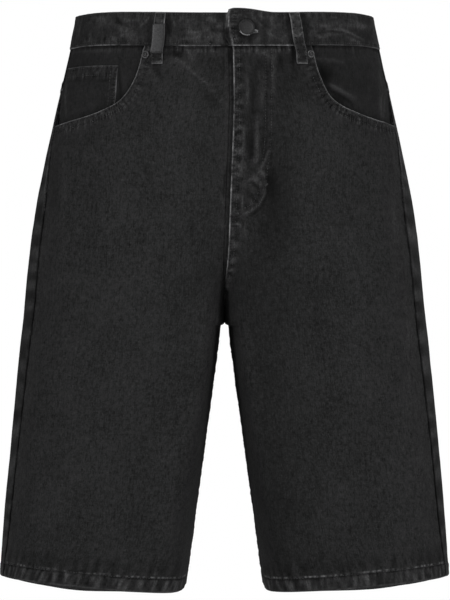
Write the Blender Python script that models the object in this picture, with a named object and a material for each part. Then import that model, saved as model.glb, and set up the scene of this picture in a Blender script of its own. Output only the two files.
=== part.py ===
"""Long baggy five-pocket denim shorts in their worn shape: hollow, one solid for each cut piece.

The tables are in millimetres and the meshes in metres. +Z is up, the front faces -Y and the wearer's left
is +X. The origin is the centre of the waist opening, level with the top edge of the waistband's front.

A point of the cloth is named by its side and three numbers:
  across  0 at the centre front (the front of the inseam below the crotch), 1 at the side seam,
          2 at the centre back (the back of the inseam below the crotch)
  height  millimetres above the origin
  layer   millimetres outside the cloth's face, so a piece that lies on a panel is the panel's points moved out
"""
import bpy
import numpy as np

METRE = 0.001
LEFT, RIGHT = 1, -1

# Cloth and seams
WALL = 1.6
SEAM = 0.3
HEM_HEIGHT = 15.0
HEM_WALL = 3.4
HEM_PROUD = 0.4
BAND_HEIGHT = 36.1
BAND_PROUD = 1.2
BAND_INSIDE = -1.6
TAB_LIFT = 2.8
TAB_RAISE = 4.4
# How far the tab's end stands out at its foot, how much more above it, and how much less at its top corner
TAB_BULGE = (3.2, 4.0, 2.4)
WAIST_RISE_SIDE = 4.6
WAIST_RISE_BACK = 10.0

# Fly, pockets and loops
FLY_DROP = 2.3
FLY_FACING_RAISE = 0.8
FACING_DROP = 3.3
FACING_UNDER = 16.0
COIN_WALL = 1.1
LOOP_HALF_WIDTH = 6.3
LOOP_WALL = 2.0
PLATE_WALL = 0.9

# Worn body, one row for each height
SECTION_COLUMNS = ("height", "half_width", "leg_centre", "front_depth", "back_depth", "widest_y", "seam_inset",
                   "inner_bulge", "inner_corner")
SECTIONS = (
    (15.0, 161.0, 0.0, 105.0, 105.0, 0.0, 1.0, 3.6, 1.7),
    (0.0, 163.5, 0.0, 106.0, 106.0, 0.0, 1.2, 3.6, 1.7),
    (-40.0, 172.0, 0.0, 109.0, 114.0, 1.0, 1.6, 3.6, 1.7),
    (-80.0, 181.4, 8.0, 113.0, 127.0, 3.0, 2.2, 3.6, 1.7),
    (-120.0, 190.5, 26.0, 117.0, 141.0, 5.0, 3.6, 3.6, 1.7),
    (-160.0, 199.0, 46.0, 120.0, 150.0, 7.0, 7.5, 3.6, 1.7),
    (-200.0, 206.8, 70.0, 122.0, 153.0, 8.0, 12.5, 3.6, 1.7),
    (-250.0, 214.2, 94.0, 122.0, 149.0, 9.0, 14.0, 5.0, 1.9),
    (-320.0, 221.3, 111.0, 117.0, 136.0, 10.0, 14.0, 16.0, 3.2),
    (-400.0, 229.7, 121.0, 109.0, 120.0, 8.0, 12.5, 18.0, 3.4),
    (-480.0, 237.0, 130.0, 101.0, 107.0, 6.0, 10.5, 12.0, 2.8),
    (-550.0, 243.0, 138.0, 95.0, 97.0, 4.0, 9.0, 8.0, 2.3),
    (-620.0, 247.4, 145.0, 90.0, 90.0, 3.0, 4.5, 5.5, 1.9),
    (-640.0, 248.4, 147.0, 89.0, 89.0, 3.0, 4.5, 5.0, 1.8),
)
CROTCH_HEIGHT = -332.0
BULGE_OUTSIDE = 2.3
CORNER = 1.7
# Centre seam's curve down to the crotch: the height where it starts and how late it falls
FRONT_RISE = (-150.0, 4.3)
BACK_RISE = (-170.0, 3.6)
CUT_REACH = 1.5
LEG_GAP_START = 4.2
LEG_GAP_ROUND = 1.5
LEG_GAP_SPREAD = 0.135
LEG_GAP_REACH = 0.3
# Height of the hem's edge round the leg: lowest in front on the inside, higher on the outside
HEM_COLUMNS = ("across", "height")
HEM_LINE = ((0.0, -617.2), (0.07, -622.2), (0.13, -623.1), (0.2, -622.5), (0.35, -619.8), (0.46, -618.1),
            (0.64, -613.0), (0.83, -609.4), (1.0, -608.6), (1.35, -611.5), (1.7, -616.0), (1.93, -618.2),
            (2.0, -617.2))

# Fly edge of the wearer's left front, and the outer line of the doubled fly
LINE_COLUMNS = ("height", "distance")
FLY_EDGE = ((15.0, 9.0), (-40.0, 9.0), (-94.0, 10.0), (-153.0, 8.0), (-218.0, 5.3), (-243.0, 4.6),
            (-296.0, 1.7), (-318.0, 0.15), (-640.0, 0.15))
FLY_FACING_EDGE = ((15.0, 51.0), (-145.0, 49.0), (-175.0, 46.0), (-196.0, 40.0), (-208.0, 32.0),
                   (-215.0, 20.0), (-219.0, 8.0), (-640.0, 8.0))
FLY_UNDERLAP_END = (-205.0, -235.0)
# Columns of the right front past the fly edge, where it runs under it and where it is sewn to it
LAP_COLUMNS = ("underlap", "sewn")
FLY_LAP = ((12.0, -0.3), (2.2, -0.6), (-1.0, -1.1), (-5.0, -5.0))
FLY_DROP_END = (-296.0, -318.0)

# Pocket mouths, from the waist seam to the side seam
POCKET_COLUMNS = ("across", "height")
POCKET_MOUTH = {
    RIGHT: ((0.420, -36.1), (0.428, -47.0), (0.437, -58.0), (0.455, -71.0), (0.481, -82.0), (0.524, -93.0),
            (0.596, -101.0), (0.640, -104.5), (0.684, -107.0), (0.735, -109.2), (0.787, -111.0), (0.843, -112.6),
            (0.900, -114.0), (0.950, -115.1), (1.0, -116.0)),
    LEFT: ((0.458, -35.8), (0.466, -47.0), (0.478, -61.0), (0.498, -75.0), (0.532, -89.0), (0.594, -99.0),
           (0.664, -104.0), (0.707, -106.8), (0.751, -109.0), (0.811, -111.4), (0.872, -113.0),
           (0.936, -114.6), (1.0, -116.0)),
}
COIN_ACROSS = (0.550, 0.957)
COIN_TOP = -58.0
YOKE_HEIGHT = {"side": -76.0, "centre": -106.0, "sag": 4.0}
BACK_COLUMNS = 18
BACK_POCKET_COLUMNS = ("height", "near_side", "near_centre")
BACK_POCKET = ((-123.0, 1.284, 1.716), (-205.0, 1.290, 1.706), (-276.0, 1.304, 1.688))
BACK_POCKET_TOP = (-123.4, -127.4)
BACK_POCKET_FOOT = (-276.0, -289.5)
BACK_POCKET_HEM = 12.5

# Largest folds: a ridge (or trough, if negative) between two points of the front or back face
FOLD_COLUMNS = ("face", "x_from", "height_from", "x_to", "height_to", "width", "rise")
FOLDS = (
    (0, -170.0, -150.0, -176.0, -285.0, 15.0, 2.6),
    (0, -150.0, -170.0, -150.0, -300.0, 13.0, -1.8),
    (0, -60.0, -60.0, -20.0, -98.0, 11.0, 2.0),
    (0, 168.0, -150.0, 186.0, -300.0, 12.0, 2.4),
    (0, 72.0, -280.0, 138.0, -297.0, 10.0, 2.4),
    (0, 138.0, -297.0, 190.0, -276.0, 11.0, 2.0),
    (0, 92.0, -305.0, 150.0, -318.0, 12.0, -1.8),
    (0, 40.0, -255.0, 70.0, -600.0, 16.0, 2.4),
    (0, -46.0, -262.0, -62.0, -600.0, 18.0, 2.0),
    (0, 200.0, -400.0, 212.0, -600.0, 16.0, 2.2),
    (0, -205.0, -380.0, -214.0, -590.0, 18.0, 1.8),
    (0, -24.0, -120.0, -30.0, -240.0, 14.0, 1.8),
    (0, 66.0, -110.0, 76.0, -230.0, 15.0, 1.6),
    (1, 44.0, -318.0, 130.0, -334.0, 13.0, 3.0),
    (1, -38.0, -322.0, -140.0, -338.0, 14.0, 2.8),
    (1, 64.0, -346.0, 150.0, -362.0, 15.0, -2.4),
    (1, -66.0, -350.0, -140.0, -364.0, 14.0, -2.2),
    (1, 118.0, -380.0, 128.0, -600.0, 22.0, 2.6),
    (1, -112.0, -372.0, -130.0, -600.0, 20.0, 2.8),
    (1, 190.0, -420.0, 205.0, -600.0, 17.0, 2.0),
    (1, -196.0, -400.0, -206.0, -600.0, 18.0, 1.8),
)

# Belt loop: distance below the local waist edge, and the layer of its inner face
LOOP_PATH_COLUMNS = ("down", "layer")
LOOP_PATH = ((0.6, 1.55), (5.0, 1.7), (9.0, 3.5), (13.0, 3.9), (24.0, 4.0), (35.0, 4.0), (45.0, 3.9),
             (48.5, 2.6), (51.5, 0.7), (52.6, 0.35), (56.0, 0.35))
LOOP_COLUMNS = ("name", "side", "across_top", "across_bottom")
LOOPS = (
    ("belt_loop_front_right", RIGHT, 0.337, 0.337),
    ("belt_loop_front_left", LEFT, 0.366, 0.392),
    ("belt_loop_side_right", RIGHT, 1.310, 1.306),
    ("belt_loop_side_left", LEFT, 1.310, 1.304),
    ("belt_loop_back", LEFT, 2.0, 2.0),
)
PLATE_DOWN = (13.4, 45.4)
BUTTON_AT = (23.4, -17.2)
RIVETS_AT = {RIGHT: (85.6, -44.4), LEFT: (94.0, -43.4)}

# Fineness of the lookup grid
GRID_TOP = 14.0
GRID_STEP = 2.0
GRID_ROWS = 326
GRID_HALF = 160
ARC_POINTS = 120


def named(columns, rows):
    """Short table whose columns are read by name."""
    return {name: np.array([row[i] for row in rows], float) for i, name in enumerate(columns)}


SECTION = named(SECTION_COLUMNS, SECTIONS)
LOOP = named(LOOP_PATH_COLUMNS, LOOP_PATH)


def smooth(value):
    """0 below 0, 1 above 1, with soft ends between."""
    clipped = np.clip(value, 0.0, 1.0)
    return clipped * clipped * (3.0 - 2.0 * clipped)


def section_size(name, height):
    """Size from the section table: a cubic curve through its rows."""
    heights = SECTION["height"][::-1]
    sizes = SECTION[name][::-1]
    slopes = np.gradient(sizes, heights)
    i = np.clip(np.searchsorted(heights, height) - 1, 0, len(heights) - 2)
    span = heights[i + 1] - heights[i]
    s = np.clip((height - heights[i]) / span, 0.0, 1.0)
    start = (1.0 + 2.0 * s) * (1.0 - s) ** 2 * sizes[i] + s * (1.0 - s) ** 2 * span * slopes[i]
    end = s * s * (3.0 - 2.0 * s) * sizes[i + 1] + s * s * (s - 1.0) * span * slopes[i + 1]
    return start + end


def leg_gap(height):
    """Half the open gap between the legs: its steady spread, and the small round arch at the crotch."""
    below = max(CROTCH_HEIGHT - height, 0.0)
    arch = min(below / LEG_GAP_ROUND, 1.0)
    return LEG_GAP_SPREAD * max(below - LEG_GAP_ROUND, 0.0), LEG_GAP_START * (1.0 - (1.0 - arch) ** 2) ** 0.5


def inner_cut(height, curve, bulge, corner):
    """How far round its inner side a leg reaches before the centre seam cuts it, 1 being the whole way."""
    start, lateness = curve
    way = np.clip((start - height) / (start - CROTCH_HEIGHT), 0.0, 1.0)
    seam_fall = (1.0 - way ** lateness) ** (1.0 / CORNER)
    return (1.0 - seam_fall ** corner) ** (1.0 / bulge)


def half_outline(height, depth, curve):
    """Half section from its inner edge to the widest point: x, and the depth in front of or behind it."""
    width = section_size("half_width", height)
    centre = section_size("leg_centre", height)
    spread, arch = leg_gap(height)
    turn = np.sin(np.linspace(0.0, np.pi / 2.0, ARC_POINTS))
    inside = turn[::-1]
    outside = turn[1:]
    inner_x = centre - (centre - spread) * inside + arch * smooth((inside - 1.0 + LEG_GAP_REACH) / LEG_GAP_REACH)
    x = np.concatenate([inner_x, centre + (width - centre) * outside])
    bulge = section_size("inner_bulge", height)
    corner = section_size("inner_corner", height)
    cut_inside = inside * inner_cut(height, curve, bulge, corner) ** (inside ** CUT_REACH)
    inner_fall = (1.0 - cut_inside ** bulge) ** (1.0 / corner)
    outer_fall = (1.0 - outside ** BULGE_OUTSIDE) ** (1.0 / CORNER)
    return x, depth * np.concatenate([inner_fall, outer_fall])


def whole_outline(height):
    """Outline of one half, front edge to back edge, as x, y, distance along it, and the side seam's distance."""
    widest = section_size("widest_y", height)
    front_x, front_y = half_outline(height, section_size("front_depth", height), FRONT_RISE)
    back_x, back_y = half_outline(height, section_size("back_depth", height), BACK_RISE)
    x = np.concatenate([front_x, back_x[::-1][1:]])
    y = np.concatenate([widest - front_y, widest + back_y[::-1][1:]])
    along = np.concatenate([[0.0], np.cumsum(np.hypot(np.diff(x), np.diff(y)))])
    centre = section_size("leg_centre", height)
    width = section_size("half_width", height)
    inset = section_size("seam_inset", height)
    turn = np.arcsin((width - inset - centre) / (width - centre)) / (np.pi / 2.0)
    seam = np.interp((ARC_POINTS - 1) * (1.0 + turn), np.arange(len(along)), along)
    return x, y, along, seam


def lookup_grids():
    """x, y and distance along the outline for each height and each step across."""
    across = np.linspace(0.0, 2.0, 2 * GRID_HALF + 1)
    grids = np.zeros((3, GRID_ROWS, len(across)))
    for row in range(GRID_ROWS):
        x, y, along, seam = whole_outline(GRID_TOP - row * GRID_STEP)
        front = across * seam
        back = seam + (across - 1.0) * (along[-1] - seam)
        distance = np.where(across <= 1.0, front, back)
        grids[:, row] = np.interp(distance, along, x), np.interp(distance, along, y), distance
    return grids


GRIDS = lookup_grids()


def look_up(which, across, height):
    """Value between the four nearest entries of a lookup grid."""
    down = np.clip((GRID_TOP - height) / GRID_STEP, 0.0, GRID_ROWS - 1.001)
    along = np.clip(across * GRID_HALF, 0.0, 2 * GRID_HALF - 0.001)
    i = down.astype(int)
    j = along.astype(int)
    s = down - i
    r = along - j
    grid = GRIDS[which]
    upper = grid[i, j] * (1.0 - r) + grid[i, j + 1] * r
    lower = grid[i + 1, j] * (1.0 - r) + grid[i + 1, j + 1] * r
    return upper * (1.0 - s) + lower * s


def front_length(height):
    """Cloth distance from the centre front, or the inseam, to the side seam."""
    height = np.asarray(height, float)
    return look_up(2, np.ones_like(height), height)


def back_length(height):
    """Cloth distance from the side seam to the centre back, or the inseam."""
    height = np.asarray(height, float)
    return look_up(2, np.full_like(height, 2.0), height) - front_length(height)


def wrap(side, across, height):
    """Carry a step past an edge on: over the centre line above the crotch, round the same leg below it."""
    over = np.mod(across, 4.0)
    far = (over > 2.0) & (height > CROTCH_HEIGHT)
    body_across = np.where(over > 2.0, 4.0 - over, over)
    body_side = np.where(far, -side, side)
    return body_side, np.where(height > CROTCH_HEIGHT, body_across, np.mod(across, 2.0))


def bare(side, across, height):
    """Point of the smooth body, before folds and layers."""
    body_side, body_across = wrap(side, across, height)
    clear_of_centre = 0.5 * SEAM * smooth((FRONT_RISE[0] - height) / 60.0)
    x = np.maximum(look_up(0, body_across, height), clear_of_centre) * body_side
    y = look_up(1, body_across, height)
    return np.stack([x, y, height], axis=-1)


def outward(side, across, height):
    """Unit normal of the smooth body, from the steps across and up."""
    step_across = 0.004
    step_up = 1.5
    ahead = bare(side, across + step_across, height) - bare(side, across - step_across, height)
    up = bare(side, across, height + step_up) - bare(side, across, height - step_up)
    normal = np.cross(ahead, up) * side
    return normal / np.linalg.norm(normal, axis=-1, keepdims=True)


def fold_rise(side, across, height):
    """Sum of the folds: each is a bell across its line that dies away past its ends."""
    point = bare(side, across, height)
    body_side, body_across = wrap(side, across, height)
    total = np.zeros(np.shape(height))
    for face, x_from, z_from, x_to, z_to, width, rise in FOLDS:
        run = np.array([x_to - x_from, z_to - z_from])
        dx = point[..., 0] - x_from
        dz = height - z_from
        s = np.clip((dx * run[0] + dz * run[1]) / (run @ run), 0.0, 1.0)
        distance = np.hypot(dx - s * run[0], dz - s * run[1])
        taper = 0.55 + 0.45 * np.sin(np.pi * s)
        total += np.where(body_across < 1.0, face == 0, face == 1) * rise * taper * np.exp(-(distance / width) ** 2)
    seam_side = smooth(np.abs(1.0 - body_across) / 0.12)
    edge = np.minimum(body_across, 2.0 - body_across)
    low = smooth((-200.0 - height) / 60.0)
    seam_inner = 1.0 - low * (1.0 - smooth(edge / 0.09))
    return total * seam_side * np.where(body_across > 1.0, smooth(edge / 0.09), seam_inner)


def place(side, across, height, layer):
    """Points in metres for a side, places across, heights and layers."""
    across, height, layer = np.broadcast_arrays(*(np.asarray(v, float) for v in (across, height, layer)))
    lift = layer + fold_rise(side, across, height)
    return (bare(side, across, height) + outward(side, across, height) * lift[..., None]) * METRE


def line(table, height):
    """Distance from the centre line at a height, from a two-column line table."""
    rows = named(LINE_COLUMNS, table)
    return np.interp(-height, -rows["height"], rows["distance"])


def waist_rise(across):
    """How far the waist edge stands above its front, towards the sides and the back."""
    round_the_body = np.mod(across, 4.0)
    nearest = np.where(round_the_body > 2.0, 4.0 - round_the_body, round_the_body)
    side = WAIST_RISE_SIDE * smooth((nearest - 0.1) / 0.75)
    return side + (WAIST_RISE_BACK - WAIST_RISE_SIDE) * smooth((nearest - 1.0) / 0.9)


def waist_seam(across):
    """Height of the seam under the waistband."""
    return -BAND_HEIGHT + waist_rise(across)


def hem_edge(across):
    """Height of the hem's edge at a place across."""
    rows = named(HEM_COLUMNS, HEM_LINE)
    return np.interp(across, rows["across"], rows["height"])


def mouth_height(side, across):
    """Height of the pocket mouth at a place across."""
    rows = named(POCKET_COLUMNS, POCKET_MOUTH[side])
    return np.interp(across, rows["across"], rows["height"])


def yoke_seam(across):
    """Height of the yoke seam, falling to the centre back in a soft curve."""
    way = np.clip(across - 1.0, 0.0, 1.0)
    straight = YOKE_HEIGHT["side"] + (YOKE_HEIGHT["centre"] - YOKE_HEIGHT["side"]) * way
    return straight - YOKE_HEIGHT["sag"] * np.sin(np.pi * way)


# Heights of the leg panels' rows above the hem zone, closer together round the crotch
LEG_ROWS = (-578.0, -545.0, -508.0, -470.0, -432.0, -400.0, -374.0, -355.0, -343.0, -336.0, -332.0, -329.0,
            -324.0, -316.0, -305.0, -291.0, -274.0, -254.0, -230.0, -205.0, -180.0, -155.0, -132.0)
HEM_ROWS = (0.0, 1.1, 8.0, 14.6, 16.8)
TOP_SHARES = (0.25, 0.5, 0.75, 1.0)


def leg_heights(hem, top):
    """Row heights of each column, from its hem edge up to its top edge."""
    rows = [hem + step for step in HEM_ROWS]
    rows += [np.full_like(top, height) for height in LEG_ROWS]
    rows += [LEG_ROWS[-1] + (top - LEG_ROWS[-1]) * share for share in TOP_SHARES]
    return np.stack(rows, axis=1)


def hem_layers(above_hem):
    """Outer and inner layer of a leg panel: doubled back on itself at the hem, with a rounded edge."""
    doubled = 1.0 - smooth((above_hem - HEM_HEIGHT) / 1.6)
    edge = 1.0 - smooth(above_hem / 1.1)
    outer = HEM_PROUD * doubled - 1.1 * edge
    inner = -WALL - (HEM_WALL - WALL) * doubled + 1.1 * edge
    return outer, inner


def wall(name, side, outer, inner, material):
    """Closed wall between an outer and an inner grid of points."""
    columns, rows = outer.shape[:2]
    points = np.concatenate([outer.reshape(-1, 3), inner.reshape(-1, 3)])
    index = np.arange(columns * rows).reshape(columns, rows)
    quads = np.stack([index[:-1, :-1], index[1:, :-1], index[1:, 1:], index[:-1, 1:]], axis=-1).reshape(-1, 4)
    rim = np.concatenate([index[:, 0], index[-1, 1:], index[-2::-1, -1], index[0, -2::-1]])
    start = rim[:-1]
    end = rim[1:]
    back = columns * rows
    edge_quads = np.stack([end, start, start + back, end + back], axis=-1)
    first_halves = np.concatenate([quads[:, [0, 1, 2]], quads[:, [2, 1, 0]] + back, edge_quads[:, [0, 1, 2]]])
    second_halves = np.concatenate([quads[:, [0, 2, 3]], quads[:, [3, 2, 0]] + back, edge_quads[:, [0, 2, 3]]])
    faces = np.concatenate([first_halves, second_halves])
    if side == RIGHT:
        faces = faces[:, ::-1]
    return add_mesh(name, points, faces.tolist(), material)


def add_mesh(name, points, faces, material):
    """Put a mesh of its own into the collection."""
    mesh = bpy.data.meshes.new(name)
    mesh.from_pydata([tuple(p) for p in points.tolist()], [], faces)
    mesh.materials.append(material)
    mesh.update()
    part = bpy.data.objects.new(name, mesh)
    garment.objects.link(part)
    return part


def turned(name, side, across, height, layer, profile, segments, material):
    """Round piece standing on the cloth, turned from a profile of radius and layer rows."""
    across = np.asarray(across, float)
    height = np.asarray(height, float)
    centre = place(side, across, height, layer) / METRE
    axis = outward(side, across, height)
    right = np.cross([0.0, 0.0, 1.0], axis)
    right /= np.linalg.norm(right)
    up = np.cross(axis, right)
    angle = np.arange(segments) * 2.0 * np.pi / segments
    rings = [centre + axis * profile[0][1]]
    for radius, lift in profile[1:-1]:
        ring = centre + axis * lift + radius * (np.outer(np.cos(angle), right) + np.outer(np.sin(angle), up))
        rings.append(ring)
    rings.append(centre + axis * profile[-1][1])
    points = np.vstack(rings) * METRE
    turn = np.roll(np.arange(segments), -1)
    faces = []
    for k in range(segments):
        faces.append([0, 1 + turn[k], 1 + k])
        for ring in range(len(profile) - 3):
            low = 1 + ring * segments
            high = low + segments
            faces.append([low + k, low + turn[k], high + turn[k], high + k])
        last = 1 + (len(profile) - 3) * segments
        faces.append([last + k, last + turn[k], len(points) - 1])
    faces = [[int(v) for v in face] for face in faces]
    return add_mesh(name, points, faces, material)


def make_material(name, colour, roughness, metallic):
    """Plain surface of one colour."""
    material = bpy.data.materials.new(name)
    material.use_nodes = True
    shader = material.node_tree.nodes["Principled BSDF"]
    shader.inputs["Base Color"].default_value = (*colour, 1.0)
    shader.inputs["Roughness"].default_value = roughness
    shader.inputs["Metallic"].default_value = metallic
    return material


def front_panel(side, material):
    """Front leg piece: fly edge or underlap on the inside, pocket mouth at the top of its outer half."""
    mouth = named(POCKET_COLUMNS, POCKET_MOUTH[side])
    reference = -76.0
    length = float(front_length(reference))
    if side == LEFT:
        places = np.array([2.2, 13.0, 26.0, 36.0, 41.0, 52.0, 64.0, 77.0])
    else:
        places = np.array([14.0, 29.0, 45.0, 61.0, 77.0])
    start = fly_columns(side, np.array([reference]))[:, 0]
    across = np.concatenate([start, start[-1] + places / length, mouth["across"]])
    mouth_columns = slice(len(across) - len(mouth["across"]), None)
    hem = hem_edge(np.clip(across, 0.0, 1.0))
    top = waist_seam(across) - SEAM
    top[mouth_columns] = np.minimum(mouth["height"], top[mouth_columns])
    height = leg_heights(hem, top)
    columns = fly_columns(side, height)
    share = (across[len(start):] - start[-1]) / (1.0 - start[-1])
    outer_edge = 1.0 - 0.5 * SEAM / front_length(height)
    inner_edge = columns[-1][len(start):]
    spread = inner_edge + share[:, None] * (outer_edge[len(start):] - inner_edge)
    lapped = np.stack([columns[i][i] for i in range(len(start))])
    place_across = np.concatenate([lapped, spread])
    outer, inner = hem_layers(height - hem[:, None])
    distance = place_across * front_length(height) * side
    fly = line(FLY_EDGE, height)
    if side == LEFT:
        raised = smooth((line(FLY_FACING_EDGE, height) - distance) / 5.0)
        outer = outer + FLY_FACING_RAISE * raised * smooth((height + 226.0) / 12.0)
    else:
        drop = FLY_DROP * fly_drop_share(distance, height, fly)
        outer = outer - drop
        inner = inner - drop
    return wall(piece_name("front", side), side, place(side, place_across, height, outer),
                place(side, place_across, height, inner), material)


def fly_drop_share(distance, height, fly):
    """1 where the right front runs under the fly, 0 on its open face."""
    until = smooth((height - FLY_DROP_END[1]) / (FLY_DROP_END[0] - FLY_DROP_END[1]))
    return smooth((distance - fly + 5.0) / 4.0) * until


def fly_columns(side, height):
    """Places across of a front panel's first columns: the fly edge, or the underlap past it and its bend."""
    fly = line(FLY_EDGE, height)
    length = front_length(height)
    if side == LEFT:
        return np.stack([fly / length])
    rows = named(LAP_COLUMNS, FLY_LAP)
    under = smooth((height - FLY_UNDERLAP_END[1]) / (FLY_UNDERLAP_END[0] - FLY_UNDERLAP_END[1]))
    reach = [fly + sewn + (lap - sewn) * under for lap, sewn in zip(rows["underlap"], rows["sewn"])]
    return -np.stack(reach) / length


def piece_name(piece, side):
    """Piece name with the wearer's side."""
    return piece + ("_left" if side == LEFT else "_right")


def back_panel(side, material):
    """Back leg piece, below the yoke."""
    share = np.arange(BACK_COLUMNS + 1) / BACK_COLUMNS
    across = 1.0 + share
    hem = hem_edge(across)
    height = leg_heights(hem, yoke_seam(across) - SEAM)
    start = 1.0 + 0.5 * SEAM / back_length(height)
    end = 2.0 - 0.5 * SEAM / back_length(height)
    place_across = start + share[:, None] * (end - start)
    outer, inner = hem_layers(height - hem[:, None])
    return wall(piece_name("back", side), side, place(side, place_across, height, outer),
                place(side, place_across, height, inner), material)


def yoke(side, material):
    """Back yoke between the waist seam and the yoke seam."""
    share = np.linspace(0.0, 1.0, 15)[:, None]
    rise = np.linspace(0.0, 1.0, 5)[None, :]
    across = 1.0 + share + 0.0 * rise
    low = yoke_seam(across)
    height = low + rise * (waist_seam(across) - SEAM - low)
    edge = 0.5 * SEAM / back_length(height)
    place_across = 1.0 + edge + share * (1.0 - 2.0 * edge)
    return wall(piece_name("yoke", side), side, place(side, place_across, height, 0.0),
                place(side, place_across, height, -WALL), material)


def facing_layer(side, across, height):
    """Layer of the pocket facing: sunk behind the pocket mouth, level with the cloth towards the waist."""
    above = height - mouth_height(side, across)
    return -FACING_DROP * (1.0 - smooth((above - 3.0) / 34.0))


def facing_places(side):
    """Places, heights and layers of a pocket facing; its fourth row down is the coin pocket's top edge."""
    mouth = named(POCKET_COLUMNS, POCKET_MOUTH[side])
    first = mouth["across"][0]
    steps = np.unique(np.concatenate([[first - 0.055, first - 0.025], mouth["across"], COIN_ACROSS]))
    length = float(front_length(-76.0))
    top = (waist_seam(steps) - SEAM)[:, None]
    low = (mouth_height(side, np.minimum(steps + 10.0 / length, 1.0)) - FACING_UNDER)[:, None]
    split = np.maximum(COIN_TOP + waist_rise(steps)[:, None], 0.5 * (low + top))
    lower = low + np.array([[0.0, 0.14, 0.3, 0.5, 0.72, 1.0]]) * (split - low)
    upper = split + np.array([[0.4, 1.0]]) * (top - split)
    height = np.concatenate([lower, upper], axis=1)
    edge = 1.0 - 0.5 * SEAM / front_length(height)
    across = np.minimum(steps[:, None], edge)
    sunk_start = smooth((first + 0.03 - across) / 0.05)
    layer = np.minimum(facing_layer(side, across, height), -FACING_DROP * sunk_start)
    return across, height, layer


def pocket_facing(side, material):
    """Hip piece behind the pocket mouth, reaching under the front panel."""
    across, height, layer = facing_places(side)
    return wall(piece_name("pocket_facing", side), side, place(side, across, height, layer),
                place(side, across, height, layer - WALL), material)


def coin_pocket(material):
    """Small patch pocket on the right facing, made from its points; its foot lies behind the front panel."""
    across, height, layer = facing_places(RIGHT)
    near = int(np.argmin(np.abs(across[:, 0] - COIN_ACROSS[0])))
    far = int(np.argmin(np.abs(across[:, 0] - COIN_ACROSS[1])))
    patch = (slice(near, far + 1), slice(1, 6))
    inner = layer[patch] + SEAM
    return wall("coin_pocket", RIGHT, place(RIGHT, across[patch], height[patch], inner + COIN_WALL),
                place(RIGHT, across[patch], height[patch], inner), material)


def back_pocket(side, material):
    """Patch pocket with a pointed foot and a doubled top edge, on the back panel's own columns and rows."""
    rows = named(BACK_POCKET_COLUMNS, BACK_POCKET)
    panel_columns = 1.0 + np.arange(BACK_COLUMNS + 1) / BACK_COLUMNS
    inside = panel_columns[(panel_columns > rows["near_side"].max()) & (panel_columns < rows["near_centre"].min())]
    across = np.concatenate([[0.0], inside, [0.0]])
    share = np.linspace(0.0, 1.0, len(across))
    top = BACK_POCKET_TOP[0] + (BACK_POCKET_TOP[1] - BACK_POCKET_TOP[0]) * share
    foot = BACK_POCKET_FOOT[0] + (BACK_POCKET_FOOT[1] - BACK_POCKET_FOOT[0]) * (1.0 - np.abs(2.0 * share - 1.0))
    between = [np.full_like(share, h) for h in LEG_ROWS if BACK_POCKET_FOOT[0] < h < top.min() - BACK_POCKET_HEM - 2.5]
    hem = top - BACK_POCKET_HEM
    height = np.stack([foot] + between + [hem - 1.5, hem, np.full_like(share, LEG_ROWS[-1]), top], axis=1)
    places = across[:, None] + 0.0 * height
    places[0] = np.interp(-height[0], -rows["height"], rows["near_side"])
    places[-1] = np.interp(-height[-1], -rows["height"], rows["near_centre"])
    doubled = 0.9 * smooth((height - hem[:, None] + 1.5) / 1.5)
    outer = SEAM + WALL + doubled
    return wall(piece_name("back_pocket", side), side, place(side, places, height, outer),
                place(side, places, height, SEAM), material)


def waistband(material):
    """Doubled strip from the button tab round the back to the end that lies under the tab."""
    length = float(front_length(-18.0))
    tab = np.array([9.0, 10.2, 16.0, 24.0, 33.0, 42.0, 50.0, 58.0, 66.0]) / length
    round_back = np.linspace(0.38, 3.86, 50)
    under = 4.0 + np.array([-18.0, -8.0, 0.0, 5.0, 14.0, 26.8, 28.0]) / length
    across = np.concatenate([tab, round_back, under])[:, None]
    low = waist_seam(across)
    high = waist_rise(across)
    rise = np.array([0.0, 0.03, 0.3, 0.8, 0.97, 1.0])[None, :]
    height = low + rise * (high - low)
    tab_end = 1.0 - smooth((across * length - 42.0) / 26.0)
    crest = 1.0 - smooth((across * length - 18.0) / 36.0)
    corner = smooth((across * length - 6.0) / 9.0)
    height = height + crest * (0.5 + 0.5 * corner) * TAB_RAISE * rise
    under_share = smooth((across - 4.0 + 18.0 / length) / (20.0 / length))
    edge = 1.0 - smooth(np.minimum(rise, 1.0 - rise) / 0.03)
    shift = TAB_LIFT * tab_end - 0.6 * under_share
    ends = np.zeros_like(across)
    ends[0] = 1.0
    ends[-1] = 1.0
    round_edge = 0.6 * np.maximum(edge, ends)
    at_foot, above, at_top = TAB_BULGE
    bulge = at_foot + above * smooth(rise / 0.3) - at_top * smooth((rise - 0.82) / 0.18)
    across = across - bulge / length * (1.0 - smooth((across * length - 9.0) / 25.0))
    outer = BAND_PROUD + shift - round_edge
    inner = BAND_INSIDE + shift + round_edge
    return wall("waistband", LEFT, place(LEFT, across, height, outer), place(LEFT, across, height, inner), material)


def belt_loop(name, side, across_top, across_bottom, material):
    """Flat loop: fastened at the waist edge and below the waistband, standing off it between."""
    width = np.array([-1.0, -0.86, 0.0, 0.86, 1.0])[:, None] * LOOP_HALF_WIDTH
    down = LOOP["down"][::-1][None, :]
    layer = LOOP["layer"][::-1][None, :]
    middle = across_top + (across_bottom - across_top) * down / LOOP["down"][-1]
    half_length = 0.5 * look_up(2, np.full((1, 1), 2.0), np.full((1, 1), -30.0))
    across = middle + width / half_length
    height = waist_rise(middle + 0.0 * across) - down
    edge = 0.5 * smooth((np.abs(width) / LOOP_HALF_WIDTH - 0.8) / 0.2)
    inner = layer + 0.3 * edge
    outer = layer + LOOP_WALL - edge
    return wall(name, side, place(side, across, height, outer), place(side, across, height, inner), material)


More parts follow.
